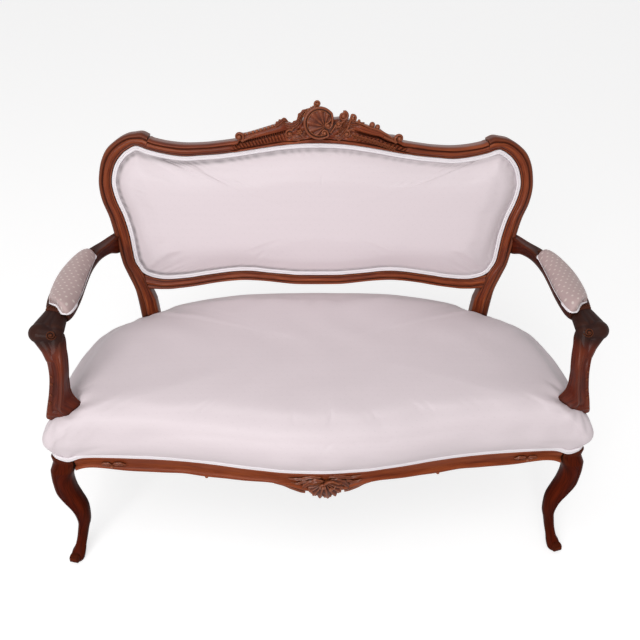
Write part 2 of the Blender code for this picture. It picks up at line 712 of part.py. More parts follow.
def lattice(name, columns, rows, width, height, thickness, place):
    """Crossed straps as one flat layer: middles of the upright and the level straps, each one web wide."""
    half = web_width / 2
    stops_a = sorted([-width, width] + [middle + way * half for middle in columns for way in (-1, 1)])
    stops_b = sorted([height[0], height[1]] + [middle + way * half for middle in rows for way in (-1, 1)])
    grid = np.array([(a, b) for b in stops_b for a in stops_a])
    faces = []
    for row in range(len(stops_b) - 1):
        for column in range(len(stops_a) - 1):
            if row % 2 == 1 or column % 2 == 1:
                corner = row * len(stops_a) + column
                faces.append((corner, corner + 1, corner + 1 + len(stops_a), corner + len(stops_a)))
    mesh = bpy.data.meshes.new(name)
    mesh.from_pydata(place(grid).tolist(), [], faces)
    made = put(mesh, name, webbing, pieces)
    layer = made.modifiers.new("thickness", "SOLIDIFY")
    layer.thickness = thickness
    layer.offset = -1
    return made


def back_webbing():
    """Jute straps stretched across the opening of the back frame behind the stuffing."""
    front = -back_pad_depth - clearance
    columns = [step * 1.35 * web_pitch for step in (-2, -1, 0, 1, 2)]
    rows = [row * panel_height for row in (0.36, 0.70)]
    made = lattice("back_webbing", columns, rows, back_half_width, (0, panel_height * 1.05), web_thickness,
                   lambda grid: on_back(grid, front))
    edge = inset(panel_loop(), clearance)
    bound = skin("back_web_bound", [on_back(edge, overrun), on_back(edge, -frame_depth)], None, cutters)
    combine(made, [bound], "INTERSECT")
    return made


def outside_back_cover():
    """The cloth that closes the back of the panel from behind."""
    edge = inset(panel_loop(), clearance)
    return skin("outside_back_cover", [on_back(edge, -back_cover_set), on_back(edge, -back_cover_set - cover_thickness)],
                satin)


# Seat frame

def seat_half(distance=0.0, radius=None):
    """The right half of the seat plan moved inwards: front curve, corner arc and side curve."""
    radius = max(corner_radius - distance, block_corner) if radius is None else radius
    front = np.array([(x * seat_half_width, front_corner_y - share * seat_bow) for x, share in front_shares])
    side = np.array([(x * seat_half_width, front_corner_y + share * seat_depth) for x, share in side_shares])
    side = smooth_rows(side, 1)
    rear = np.array([(0.33 * seat_half_width, rear_y), (0, rear_y)])
    corner = np.array([(seat_half_width, front_corner_y)])
    whole = mirrored_loop(np.vstack([front, corner, side, rear]))
    moved = inset(whole, distance)
    moved_corner = moved[len(front)]
    turns = np.radians([-90, -60, -30, 0])
    arc = moved_corner + radius * np.stack([np.cos(turns) - 1, np.sin(turns) + 1], axis=1)
    tail = moved[len(front) + 1:len(front) + 1 + len(side) + 2]
    return np.vstack([moved[:len(front)], arc, tail])


def seat_loop(distance=0.0, radius=None):
    return mirrored_loop(seat_half(distance, radius))


def at_level(loop, z):
    return np.column_stack([loop, np.broadcast_to(z, len(loop))])


def front_y(x, distance):
    half = seat_half(distance)[:len(front_shares) + 1]
    return np.interp(abs(x), half[:, 0], half[:, 1])


def side_x(y, distance):
    half = seat_half(distance)[len(front_shares) + 3:-2]
    return np.interp(y, half[:, 1], half[:, 0])


def rear_rail_y(x, distance):
    half = seat_half(distance)[-6:][::-1]
    return np.interp(abs(x), half[:, 0], half[:, 1])


def rail_section(drop, along):
    """The rail's section at one station: a moulded show face, a ledge, the tacking rebate and the web ledge.

    `along` gives the point of the plan at a distance in from the outer face."""
    bottom = ledge_z - drop
    middle = (bottom + ledge_z) / 2
    places = [(0.6 * bead_rise, bottom), (-bead_rise, bottom + 2 * bead_rise), (0.3 * bead_rise, bottom + 4 * bead_rise),
              (bead_rise, middle), (0.3 * bead_rise, ledge_z - 2 * bead_rise), (0, ledge_z), (rebate, ledge_z),
              (rebate, rail_top_z), (rail_thickness, rail_top_z), (rail_thickness, web_ledge_z),
              (skirt_thickness, web_ledge_z), (skirt_thickness, bottom)]
    return [(*along(distance), z) for distance, z in places]


def plan_corner(index, share=0.0):
    """The plan's point at one of its corners, or a share of the way to the next, at any distance inwards."""
    def along(distance):
        half = seat_half(distance)
        return tuple(half[index] + (half[index + 1] - half[index]) * share)
    return along


def leg_face_x():
    return seat_half_width - block_width


def leg_face_y():
    return front_corner_y + block_depth


def front_tenon(side, grow=0.0):
    middle = front_corner_y + rail_thickness / 2 + tenon_thickness / 2
    return rail_tenon("front_mortise" if grow else "front_tenon",
                      (leg_face_x() - overrun, middle - tenon_thickness / 2, rail_tenon_low),
                      (leg_face_x() + front_tenon_length, middle + tenon_thickness / 2, rail_tenon_high), side, grow)


def side_front_tenon(side, grow=0.0):
    middle = seat_half_width - rail_thickness / 2
    return rail_tenon("side_front_mortise" if grow else "side_front_tenon",
                      (middle - tenon_thickness / 2, leg_face_y() - side_tenon_length, rail_tenon_low),
                      (middle + tenon_thickness / 2, leg_face_y() + overrun, rail_tenon_high), side, grow)


def front_rail():
    """The serpentine front rail with its scalloped lower edge, tenoned into both front legs."""
    end = leg_face_x() - clearance
    whole = [(index, share) for index in range(len(front_shares)) for share in (0, 0.5)]
    stations = [plan_corner(index, share) for index, share in whole if plan_corner(index, share)(0)[0] < end - overrun]
    stations.append(lambda distance: (end, front_y(end, distance)))
    drops = smooth_rows(front_drop_shares, 3)
    right = []
    for along in stations:
        drop = show_height * np.interp(along(0)[0] / seat_half_width, drops[:, 0], drops[:, 1])
        right.append(np.array(rail_section(drop, along)))
    rings = [flip(ring, -1) for ring in right[:0:-1]] + right
    rail = skin("front_rail", rings, walnut)
    for side in (-1, 1):
        join(rail, front_tenon(side))
    return rail


def side_rail(side):
    """A bowed side rail between the front leg's block and the flat housing on the back post."""
    start, end = leg_face_y() + clearance, post_face_y - clearance
    first = len(front_shares) + 4
    indices = [n for n in range(first, first + len(side_shares)) if start < seat_half()[n, 1] - overrun]
    indices = [n for n in indices if seat_half()[n, 1] < end - overrun]
    stations = [lambda distance: (side_x(start, distance), start)]
    stations += [plan_corner(index) for index in indices]
    stations.append(lambda distance: (side_x(end, distance), end))
    drops = smooth_rows(side_drop_shares, 3)
    least_x = post_inner_x() + overrun / 2
    rings = []
    for along in stations:
        drop = show_height * np.interp((along(0)[1] - front_corner_y) / seat_depth, drops[:, 0], drops[:, 1])
        ring = np.array(rail_section(drop, along))
        ring[:, 0] = np.maximum(ring[:, 0], least_x)
        rings.append(flip(ring, side))
    rail = skin("side_rail_" + side_name(side), rings, walnut)
    join(rail, side_front_tenon(side), side_rear_tenon(side))
    cut(rail, support_tenon(side, clearance))
    return rail


def rear_rail():
    end = post_inner_x() - clearance
    stations = [plan_corner(-2), plan_corner(-3), lambda distance: (end, rear_rail_y(end, distance))]
    right = [np.array(rail_section(show_height, along)) for along in stations]
    rings = [flip(ring, -1) for ring in right[::-1]] + right
    rail = skin("rear_rail", rings, beech)
    for side in (-1, 1):
        join(rail, rear_tenon(side))
    return rail


def rounded_square(centre, half_x, half_y, outer_radius, radius, z, grow=0.0):
    """A ring of sixteen points: a rectangle with an arc of four points at each corner, the outer one first."""
    half_x, half_y = half_x + grow, half_y + grow
    ring = []
    for turn, way_x, way_y in ((-90, 1, -1), (0, 1, 1), (90, -1, 1), (180, -1, -1)):
        arc = outer_radius if turn == -90 else radius
        for step in (0, 30, 60, 90):
            angle = radians(turn + step)
            ring.append((centre[0] + way_x * (half_x - arc) + arc * cos(angle),
                         centre[1] + way_y * (half_y - arc) + arc * sin(angle), z))
    return ring


def leg_rings(grow=0.0):
    """The front leg from its sole to the top of its block."""
    block_x = seat_half_width - block_width / 2
    block_y = front_corner_y + block_depth / 2
    rings = []
    for height, across, forward, width in smooth_rows(leg_shape_shares, 1):
        half = width * knee_half + grow
        centre = (block_x + across * foot_reach, block_y - forward * foot_reach)
        rings.append(rounded_square(centre, half, half, 0.7 * half, 0.85 * half, height * block_bottom_z))
    wide, deep = block_width / 2 + grow, block_depth / 2 + grow
    for z in (block_bottom_z, ledge_z):
        rings.append(rounded_square((block_x, block_y), wide, deep, corner_radius, block_corner, z))
    inner_x, inner_y = block_x - (rebate - 2 * clearance) / 2, block_y + (rebate - 2 * clearance) / 2
    shrink = (rebate + 2 * clearance) / 2
    for z in (ledge_z, rail_top_z + grow):
        rings.append(rounded_square((inner_x, inner_y), wide - shrink, deep - shrink,
                                    corner_radius - rebate, block_corner, z))
    return rings


def front_leg(side):
    """A cabriole leg with its block in one piece, a scrolled toe and two mortises."""
    leg = skin("front_leg_" + side_name(side), [flip(ring, side) for ring in leg_rings()], walnut)
    foot_height, across, forward, width = leg_shape_shares[1]
    centre = Vector((seat_half_width - block_width / 2 + across * foot_reach,
                     front_corner_y + block_depth / 2 - forward * foot_reach, 0))
    ahead = Vector((across, -forward, 0)).normalized()
    beside = Vector((-ahead.y, ahead.x, 0))
    eye = centre + ahead * (width * knee_half * 0.55) + Vector((0, 0, toe_lift))
    ends = [flip(eye + beside * (way * toe_length / 2), side) for way in (-1, 1)]
    join(leg, rod("toe_scroll_" + side_name(side), ends[0], ends[1], toe_radius, None, cutters))
    cut(leg, front_tenon(side, clearance), side_front_tenon(side, clearance))
    return leg


def corner_block(side, end):
    """A glued block that fills the corner between two rails, clear of the leg that stands in it."""
    gap = rail_thickness + clearance
    low, high = web_ledge_z + overrun, rail_top_z - overrun
    half = seat_half(gap)
    front, rest = half[:len(front_shares)], half[len(front_shares) + 4:]
    if end == "front":
        start_x, end_x = leg_face_x() - block_leg, leg_face_x() - clearance
        begin, stop = leg_face_y() + clearance, leg_face_y() + block_leg
        inner = [(start_x, front_y(start_x, gap))] + [point for point in front if start_x < point[0] < end_x]
        inner += [(end_x, front_y(end_x, gap)), (end_x, begin), (side_x(begin, gap), begin)]
        inner += [point for point in rest if begin < point[1] < stop] + [(side_x(stop, gap), stop)]
    else:
        start_y, start_x = rear_y - 2.2 * block_leg, post_inner_x() - block_leg
        inner = [(side_x(start_y, gap), start_y)]
        inner += [point for point in rest if point[1] > start_y and point[0] > start_x
                  and abs(point[0] - post_inner_x()) > 2 * overrun]
        inner += [(start_x, rear_rail_y(start_x, gap))]
    rings = [flip([(x, y, z) for x, y in inner], side) for z in (low, high)]
    return skin("corner_block_%s_%s" % (end, side_name(side)), rings, beech)


def front_shell():
    """The carved shell on the middle of the front rail: seven lobes that fan down from its top."""
    turns = np.linspace(0, pi, 22)
    back = front_corner_y - seat_bow - bead_rise - clearance
    top_z = ledge_z - clearance
    levels = [(0.0, 1.0), (0.25, 1.0), (0.72, 0.86), (1.0, 0.55), (0.92, 0.25)]
    rings = []
    for relief, share in levels:
        lobe = 1 + 0.07 * np.cos(14 * turns)
        x = share * lobe * shell_width * np.cos(turns)
        z = top_z - 0.1 * shell_drop * (1 - share) - share * lobe * shell_drop * np.sin(turns)
        ridge = relief * shell_relief * (1 + 0.12 * np.cos(14 * turns) * (share < 1))
        rings.append(np.column_stack([x, back - ridge, z]))
    return skin("front_shell", rings, walnut)


# Arms

def arm_frames():
    """Rows of centre, sideways direction, half width and half height along the right arm."""
    table = smooth_rows(arm_shape_shares, 2)
    centre = np.column_stack([arm_root_x + table[:, 0] * arm_spread, rear_y + arm_root_y - table[:, 1] * arm_reach,
                              arm_z - table[:, 2] * arm_drop])
    ahead = np.gradient(centre, axis=0)
    across = np.stack([-ahead[:, 1], ahead[:, 0]], axis=1)
    across /= np.linalg.norm(across, axis=1, keepdims=True)
    return centre, across, table[:, 3] * arm_half, table[:, 4] * arm_half


def section_ring(centre, across, half_width, half_height, shares, base=0.0):
    """A section set square to the arm's run: shares of half width and half height round the centre."""
    shares = np.array(shares)
    flat = centre[:2] + across * (shares[:, :1] * half_width)
    return np.column_stack([flat, centre[2] + base + shares[:, 1] * half_height])


def arm_rings(grow=0.0):
    rows = zip(*arm_frames())
    return [section_ring(centre, across, wide + grow, high + grow, arm_section_shares)
            for centre, across, wide, high in rows]


def arm_cutter(side, name):
    return skin(name + "_" + side_name(side), [flip(ring, side) for ring in arm_rings(clearance)], None, cutters)


def arm(side):
    """An arm from the back post to its scrolled knuckle, flat on top where the pad lies."""
    made = skin("arm_" + side_name(side), [flip(ring, side) for ring in arm_rings()], walnut)
    cut(made, post_cutter(side, "post_for_arm"))
    join(made, arm_tenon(side))
    cut(made, support_top_tenon(side, clearance))
    return made


def pad_rows():
    return range(2 * pad_first_row, 2 * pad_last_row + 1)


def pad_middle(centre, number):
    """A pad's run is the arm's run drawn together a little, to leave room for the cord at both ends."""
    rows = pad_rows()
    middle = centre[(rows[0] + rows[-1]) // 2, :2]
    flat = middle + (centre[number, :2] - middle) * pad_length_share
    return np.append(flat, centre[number, 2])


def pad_end_share(number):
    """How much of its full width the pad has: it draws in to round ends."""
    rows = pad_rows()
    place = (number - rows[0]) / (rows[-1] - rows[0])
    return max(1 - abs(2 * place - 1) ** 6, 0) ** 0.5 * 0.5 + 0.5


def arm_pad(side):
    """A stuffed pad on the flat of the arm, crowned along and across."""
    centre, across, wide, high = arm_frames()
    rings = []
    for number in pad_rows():
        share = pad_end_share(number)
        half = wide[number] * pad_cover_share * share - 2 * arm_piping_radius
        ring = section_ring(pad_middle(centre, number), across[number], half, pad_crown * (1.30 * share - 0.30),
                            pad_section_shares, high[number] + clearance)
        rings.append(flip(ring, side))
    return skin("arm_pad_" + side_name(side), rings, satin)


def arm_piping(side):
    """The cord round the foot of an arm pad."""
    centre, across, wide, high = arm_frames()
    right, left = [], []
    for number in pad_rows():
        half = wide[number] * pad_cover_share * pad_end_share(number) - arm_piping_radius * 0.8
        level = centre[number, 2] + high[number] + 2 * clearance + arm_piping_radius
        right.append((*(centre[number, :2] + across[number] * half), level))
        left.append((*(centre[number, :2] - across[number] * half), level))
    ends = []
    for number, way in ((pad_rows()[-1], 1), (pad_rows()[0], -1)):
        step = centre[number, :2] - centre[number - way, :2]
        step = step / hypot(*step) * (arm_piping_radius * 1.3)
        level = centre[number, 2] + high[number] + 2 * clearance + arm_piping_radius
        ends.append((*(centre[number, :2] + step), level))
    loop = np.array(right + [ends[0]] + left[::-1] + [ends[1]])
    return tube("arm_piping_" + side_name(side), flip(loop, side), arm_piping_radius, cord_cloth, True, 0)


def support_rings(grow=0.0):
    """The arm support from its foot on the side rail to its top under the arm."""
    rings = []
    for height, taper, lean, wide, deep in support_shape_shares:
        centre = (support_x - taper * support_taper_x, rear_y + support_y + lean * support_lean)
        floor_z = rail_top_z - overrun if grow else rail_top_z + clearance
        z = max(support_foot_z + height * support_height, floor_z)
        half_x, half_y = wide * support_half + grow, deep * support_half + grow
        corner = 0.45 * half_y
        rings.append(rounded_square(centre, half_x, half_y, corner, corner, z))
    return rings


def volute(side, grow=0.0):
    """The scroll at the foot of an arm support, which curls inwards over the seat."""
    x = side * (support_x - volute_reach)
    y, z = rear_y + support_y, support_foot_z + volute_lift
    half = volute_length / 2 + grow
    return rod("volute%s_%s" % ("_clearance" if grow else "", side_name(side)), (x, y - half, z), (x, y + half, z),
               volute_radius + grow, None, cutters, 14)


def support_tenon(side, grow=0.0):
    """The stub on the support's foot that stands in the side rail."""
    middle = seat_half_width - (rail_thickness + rebate) / 2
    y = rear_y + support_y
    return rail_tenon("support_mortise" if grow else "support_foot_tenon",
                      (middle - tenon_thickness / 2, y - tenon_thickness, rail_top_z - support_tenon_length),
                      (middle + tenon_thickness / 2, y + tenon_thickness, rail_top_z + 2 * overrun), side, grow)


def support_top_tenon(side, grow=0.0):
    """The stub on the support's top that stands in the arm."""
    middle = support_x - 0.7 * support_taper_x
    y = rear_y + support_y + 0.9 * support_lean
    top = support_foot_z + support_height * 1.08
    return rail_tenon("support_top_mortise" if grow else "support_top_tenon",
                      (middle - tenon_thickness, y - tenon_thickness / 2, top - support_tenon_length),
                      (middle + tenon_thickness, y + tenon_thickness / 2, top + tenon_thickness), side, grow)


def arm_support(side):
    made = skin("arm_support_" + side_name(side), [flip(ring, side) for ring in support_rings()], walnut)
    join(made, volute(side))
    cut(made, arm_cutter(side, "arm_for_support"))
    join(made, support_tenon(side), support_top_tenon(side))
    return made


def support_cutters(side, name):
    """What the upholstery leaves open round an arm support."""
    body = skin(name + "_" + side_name(side), [flip(ring, side) for ring in support_rings(clearance)], None, cutters)
    return [body, volute(side, clearance)]


# Seat upholstery

def canvas_profile():
    """Rings of the canvas over the springs: on the rails, over their inner edge, and up to a flat top."""
    lap = seat_loop(rail_thickness - canvas_lap)
    edge = seat_loop(rail_thickness + overrun / 2)
    middle = np.array([0, seat_centre_y])
    low = rail_top_z + clearance
    return [(lap, low), (edge, low), (scaled(edge, middle, canvas_flat_share), low + canvas_rise)]


def spring_canvas(cuts):
    """The canvas tacked on top of the rails, which the springs hold up in the middle."""
    profile = canvas_profile()
    top_z = rail_top_z + clearance + canvas_rise
    rings = [at_level(loop, z) for loop, z in profile[::-1]]
    rings += [at_level(loop, z + canvas_thickness) for loop, z in profile]
    low, high = (0, seat_centre_y, top_z), (0, seat_centre_y, top_z + canvas_thickness)
    made = skin("spring_canvas", rings, canvas_cloth, None, low, high)
    cut(made, *cuts)
    return made


def rearness(loop):
    """1 along the rear edge, 0 from the middle forwards."""
    share = (loop[:, 1] - seat_centre_y) / (rear_y - seat_centre_y)
    return np.clip((share - 0.75) / 0.2, 0, 1)


def corner_fall(loop):
    """How far the seat is pulled down towards the back posts: 0 in the middle, 1 at the posts."""
    share = np.clip((np.abs(loop[:, 0]) / seat_half_width - 0.10) / 0.68, 0, 1)
    depth = (loop[:, 1] - seat_centre_y) / (rear_y - seat_centre_y)
    return share ** 2.3 * np.clip((depth - 0.35) / 0.55, 0, 1)


def corner_swell(loop):
    """How much the wall swells beyond the rails: 1 on the front corners, 0 away from them."""
    distance = np.hypot(np.abs(loop[:, 0]) - seat_half_width, loop[:, 1] - front_corner_y)
    return np.exp(-(distance / swell_reach) ** 2)


def seat_cushion(cuts):
    """The stuffed seat: a wall round the rails that bulges, a soft shoulder and a broad crown."""
    base_z = ledge_z + 2 * seat_piping_radius + 2 * clearance
    outline = seat_loop()
    rear, fall = rearness(outline), corner_fall(outline)
    middle = np.array([0, seat_centre_y])
    under = canvas_thickness + clearance
    rings = [at_level(loop, z + under) for loop, z in canvas_profile()[::-1]]
    rings.append(at_level(seat_loop(rebate - clearance), rail_top_z + clearance + under))
    rings += [at_level(seat_loop(rebate - clearance), base_z), at_level(outline, base_z)]
    for out, radius, swell, rise, rear_rise in seat_wall_shares:
        wall = seat_loop(-out * side_bulge, radius * corner_radius)
        wall[:, 0] += np.sign(wall[:, 0]) * corner_swell(wall) * swell * corner_bulge
        wall = np.where(rear[:, None] > 0.5, outline, wall)
        rings.append(at_level(wall, base_z + seat_crown * (rise + rear_rise * rear) * (1 - wall_fall_share * fall)))
    soft = seat_loop(0, soft_corner_share * corner_radius)
    for share, front_rise, rear_rise in seat_ring_shares:
        rise = front_rise + (rear_rise - front_rise) * rear
        fallen = 1 - crown_fall_share * fall * share ** 4
        rings.append(at_level(scaled(soft, middle, share), base_z + seat_crown * rise * fallen))
    low_z = rail_top_z + clearance + canvas_rise + under
    made = skin("seat_cushion", rings, satin, None, (0, seat_centre_y, low_z), (0, seat_centre_y, base_z + seat_crown))
    cut(made, *cuts)
    return made


def seat_piping():
    """The cord that lies on the show wood under the upholstery, from one back post round to the other."""
    half = seat_half(seat_piping_radius)
    stop = post_face_y - seat_piping_radius
    run = [point for point in half if point[1] < stop]
    end = (side_x(stop, seat_piping_radius), stop)
    right = np.array(run + [end])
    path = np.vstack([right[:0:-1] * [-1, 1], right])
    level = ledge_z + clearance + seat_piping_radius
    return tube("seat_piping", at_level(path, level), seat_piping_radius, cord_cloth)


def seat_webbing():
    """Jute straps under the seat, drawn tight on the ledge inside the rails."""
    columns = [step * web_pitch for step in (-3, -2, -1, 0, 1, 2, 3)]
    rows = [seat_centre_y + step * web_row_pitch for step in (-1, 0, 1)]
    top = web_ledge_z - clearance
    made = lattice("seat_webbing", columns, rows, seat_half_width, (front_corner_y - seat_bow, rear_y),
                   web_thickness, lambda grid: at_level(grid, top))
    edge = seat_loop(skirt_thickness + overrun)
    bound = skin("seat_web_bound", [at_level(edge, top + overrun), at_level(edge, top - 2 * overrun)], None, cutters)
    combine(made, [bound], "INTERSECT")
    return made


def dust_cover(cuts):
    """The thin black cloth tacked under the webbing."""
    top = web_ledge_z - web_thickness - 2 * clearance
    edge = seat_loop(skirt_thickness + overrun / 2)
    made = skin("dust_cover", [at_level(edge, top), at_level(edge, top - cover_thickness)], cambric)
    cut(made, *cuts)
    return made


def seat_spring(number, x, y):
    """An hourglass spring: a wound wire that stands on the webbing and carries the canvas."""
    bottom = web_ledge_z + spring_wire
    top = rail_top_z + clearance + canvas_rise - clearance - spring_wire
    share = np.linspace(0, 1, spring_turns * 5 + 1)
    angle = 2 * pi * spring_turns * share
    flat = 0.5 / spring_turns
    climb = np.clip((share - flat / 2) / (1 - flat), 0, 1)
    radius = spring_waist + (spring_radius - spring_waist) * (2 * share - 1) ** 2
    z = bottom + (top - bottom) * (0.94 * climb + 0.06 * share)
    points = np.column_stack([x + radius * np.cos(angle), y + radius * np.sin(angle), z])
    return tube("seat_spring_%02d" % number, points, spring_wire, spring_steel, False, 0)


def build():
    """Every piece of the settee, from the frame outwards."""
    for side in (-1, 1):
        back_post(side)
        crest_dowel(side)
        front_leg(side)
        side_rail(side)
        arm(side)
        arm_support(side)
        arm_pad(side)
        arm_piping(side)
        for end in ("front", "rear"):
            corner_block(side, end)
    crest_rail()
    crest_cartouche()
    lower_back_rail()
    front_rail()
    front_shell()
    rear_rail()
    back_cushion()
    back_piping()
    back_webbing()
    outside_back_cover()
    posts = [post_cutter(side, "post_clearance") for side in (-1, 1)]
    supports = support_cutters(-1, "support_clearance") + support_cutters(1, "support_clearance")
    legs = [skin("leg_clearance_" + side_name(side), [flip(ring, side) for ring in leg_rings(clearance)], None, cutters)
            for side in (-1, 1)]
    seat_cushion(posts + supports)
    seat_piping()
    spring_canvas(posts + supports)
    seat_webbing()
    dust_cover(posts + legs)
    number = 0
    for row in (-0.5, 0.5):
        for column in (-2, -1, 0, 1, 2):
            number += 1
            seat_spring(number, column * spring_pitch_x, seat_centre_y + row * spring_pitch_y)


clear_scene()
pieces = new_collection("rococo_settee")
cutters = new_collection("cutters")
settee = bpy.data.objects.new("settee_origin", None)
pieces.objects.link(settee)
walnut = finish_material("carved_walnut", (0.42, 0.19, 0.11), 0.35)
beech = finish_material("beech", (0.72, 0.55, 0.38), 0.6)
satin = finish_material("pale_satin", (0.88, 0.84, 0.86), 0.5)
cord_cloth = finish_material("cord_cloth", (0.91, 0.89, 0.94), 0.55)
webbing = finish_material("jute_webbing", (0.62, 0.50, 0.34), 0.9)
canvas_cloth = finish_material("hessian_canvas", (0.70, 0.60, 0.44), 0.9)
cambric = finish_material("black_cambric", (0.08, 0.08, 0.09), 0.9)
spring_steel = finish_material("spring_steel", (0.45, 0.46, 0.48), 0.4, 1.0)
build()
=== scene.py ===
# %% [markdown]
# # A rococo settee
# The real settee is a carved walnut frame with stuffed satin between its members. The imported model
# gives the solids; this script dresses them. Walnut members are worked out as surfaces, because a
# moulding is a profile carried along a curve; the carving is laid on them as small swept scrolls.

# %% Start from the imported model
from math import cos, pi, radians, sin

import bpy
import numpy as np
from mathutils import Matrix, Vector


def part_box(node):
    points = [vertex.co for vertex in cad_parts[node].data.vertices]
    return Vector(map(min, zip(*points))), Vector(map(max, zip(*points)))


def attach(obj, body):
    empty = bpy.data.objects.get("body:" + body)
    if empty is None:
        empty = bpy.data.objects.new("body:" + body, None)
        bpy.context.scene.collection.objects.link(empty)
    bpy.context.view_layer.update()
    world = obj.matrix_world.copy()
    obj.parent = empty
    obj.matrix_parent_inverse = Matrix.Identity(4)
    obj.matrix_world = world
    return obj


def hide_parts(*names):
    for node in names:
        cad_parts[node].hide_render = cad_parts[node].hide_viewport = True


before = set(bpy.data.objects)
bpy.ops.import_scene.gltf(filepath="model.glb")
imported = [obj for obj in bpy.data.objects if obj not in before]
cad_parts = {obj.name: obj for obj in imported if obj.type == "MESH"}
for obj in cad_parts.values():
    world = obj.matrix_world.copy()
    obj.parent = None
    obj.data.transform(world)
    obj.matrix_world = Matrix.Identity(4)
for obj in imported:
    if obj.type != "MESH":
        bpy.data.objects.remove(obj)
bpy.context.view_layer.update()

scene = bpy.context.scene
print("solids in the frame:", len(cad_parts))

# %% [markdown]
# ## Camera
# The photograph looks down on the settee from a standing person's height, a little to the left of
# its middle. The place, the turn and the lens were fitted to the outlines of the seat and the back.

# %% Camera
camera_place = np.array([-0.087, -1.221, 1.601])
tilt, heading, bank = radians(40.54), radians(3.91), radians(2.31)
film_width, focal_share = 36, 620 / 640
forward = np.array([sin(heading) * cos(tilt), cos(heading) * cos(tilt), -sin(tilt)])
level = np.array([cos(heading), -sin(heading), 0])
upright = np.cross(level, forward)
right = cos(bank) * level + sin(bank) * upright
up = cos(bank) * upright - sin(bank) * level
lens = bpy.data.cameras.new("camera")
lens.sensor_width = film_width
lens.lens = film_width * focal_share
camera = bpy.data.objects.new("camera", lens)
camera.matrix_world = Matrix(np.vstack([np.column_stack([right, up, -forward, camera_place]), [0, 0, 0, 1]]))
scene.collection.objects.link(camera)
scene.camera = camera
print("lens in mm:", round(lens.lens, 2))

# %% [markdown]
# ## Curves and surfaces
# Every new piece is a grid of points, worked out at once with numpy and then turned into faces. One
# helper draws a smooth curve through the rows of a table, one spaces points evenly, and one turns
# grids into a mesh with a map in metres, which the grain and the weave follow.

# %% Smooth curves
def smooth_at(rows, place):
    """Catmull-Rom: between two rows, a cubic in the share of the way whose slope at each row is half
    the step from the row before to the row after. `place` is in rows."""
    rows, place = np.array(rows, float), np.asarray(place, float)
    padded = np.concatenate([2 * rows[:1] - rows[1:2], rows, 2 * rows[-1:] - rows[-2:-1]])
    start = np.minimum(place.astype(int), len(rows) - 2)
    share = (place - start).reshape(-1, *[1] * (rows.ndim - 1))
    before, here, there, after = (padded[start + step] for step in range(4))
    bend = 2 * before - 5 * here + 4 * there - after
    twist = 3 * here - before - 3 * there + after
    return (2 * here + (there - before) * share + bend * share ** 2 + twist * share ** 3) / 2


def smooth(rows, count):
    """The whole curve through a table, at even steps from row to row."""
    return smooth_at(rows, np.linspace(0, len(rows) - 1, count))


def lengths(points):
    """The running length along a line of points."""
    return np.concatenate([[0], np.cumsum(np.linalg.norm(np.diff(points, axis=0), axis=1))])


def even(points, count):
    """The same line with points at equal steps of its running length."""
    run = lengths(points)
    places = np.linspace(0, run[-1], count)
    return np.column_stack([np.interp(places, run, column) for column in np.asarray(points).T])


def directions(points, ring=False):
    """The unit step along a line at each of its points; a ring runs on from its last to its first."""
    steps = np.roll(points, -1, axis=0) - np.roll(points, 1, axis=0) if ring else np.gradient(points, axis=0)
    return steps / np.linalg.norm(steps, axis=1, keepdims=True)


def leftwards(ahead):
    """Square to directions in plan, to their left."""
    return np.column_stack([-ahead[:, 1], ahead[:, 0]])


def looked_up(table, place):
    """The second column of a table where the first is at a place, straight from row to row."""
    return np.interp(place, *np.array(table).T)


def ease(value, low, high):
    """0 below low, 1 above high and a smooth step, 3s^2 - 2s^3, between them."""
    share = np.clip((np.asarray(value, float) - low) / (high - low), 0, 1)
    return share * share * (3 - 2 * share)


def hump(value, centre, width):
    """A bell of height 1 round a centre."""
    return np.exp(-((np.asarray(value, float) - centre) / width) ** 2)


# %% Grids to meshes
def grid_parts(grid, start):
    """Faces and map of one grid of rings. Each cell is a quad; each end closes on its middle. The map is
    the running length along the rings and around them, in metres."""
    rows, columns = grid.shape[:2]
    number = np.arange(rows * columns).reshape(rows, columns) + start
    ahead = np.concatenate([number, number[:, :1]], axis=1)
    around = np.concatenate([grid, grid[:, :1]], axis=1)
    down = np.concatenate([np.zeros((1, around.shape[1])), np.cumsum(
        np.linalg.norm(np.diff(around, axis=0), axis=2), axis=0)]).mean(axis=1)
    across = np.concatenate([np.zeros((rows, 1)), np.cumsum(
        np.linalg.norm(np.diff(around, axis=1), axis=2), axis=1)], axis=1)
    across = across - across.mean(axis=1, keepdims=True)
    chart = np.stack([np.broadcast_to(down[:, None], across.shape), across], axis=-1)
    quads = np.stack([ahead[:-1, :-1], ahead[:-1, 1:], ahead[1:, 1:], ahead[1:, :-1]], axis=-1).reshape(-1, 4)
    chart_corners = [chart[:-1, :-1], chart[:-1, 1:], chart[1:, 1:], chart[1:, :-1]]
    chart_quads = np.stack(chart_corners, axis=2).reshape(-1, 2)
    faces, charts, points = quads.tolist(), [chart_quads], [grid.reshape(-1, 3)]
    for row, flip_way in ((0, 1), (rows - 1, 0)):
        middle = start + rows * columns + (row > 0)
        a, b = number[row], np.roll(number[row], -1)
        first, second = (b, a) if flip_way else (a, b)
        faces += np.column_stack([first, second, np.full(columns, middle)]).tolist()
        hub = np.broadcast_to(chart[row].mean(0), (columns, 2))
        flat = np.stack([chart[row, :-1], chart[row, 1:], hub], axis=1)
        charts.append(flat.reshape(-1, 2))
        points.append(grid[row].mean(axis=0, keepdims=True))
    return np.vstack(points), faces, np.vstack(charts)


def read(items, key, width=1, kind=float):
    """One property of all the items of a mesh, as a row of `width` numbers for each."""
    values = np.empty(len(items) * width, kind)
    items.foreach_get(key, values)
    return values.reshape(-1, width) if width > 1 else values


def map_points(mesh, name, places):
    """A map layer from one flat place for each point."""
    corners = read(mesh.loops, "vertex_index", kind=int)
    mesh.uv_layers.new(name=name).data.foreach_set("uv", places[corners].ravel())


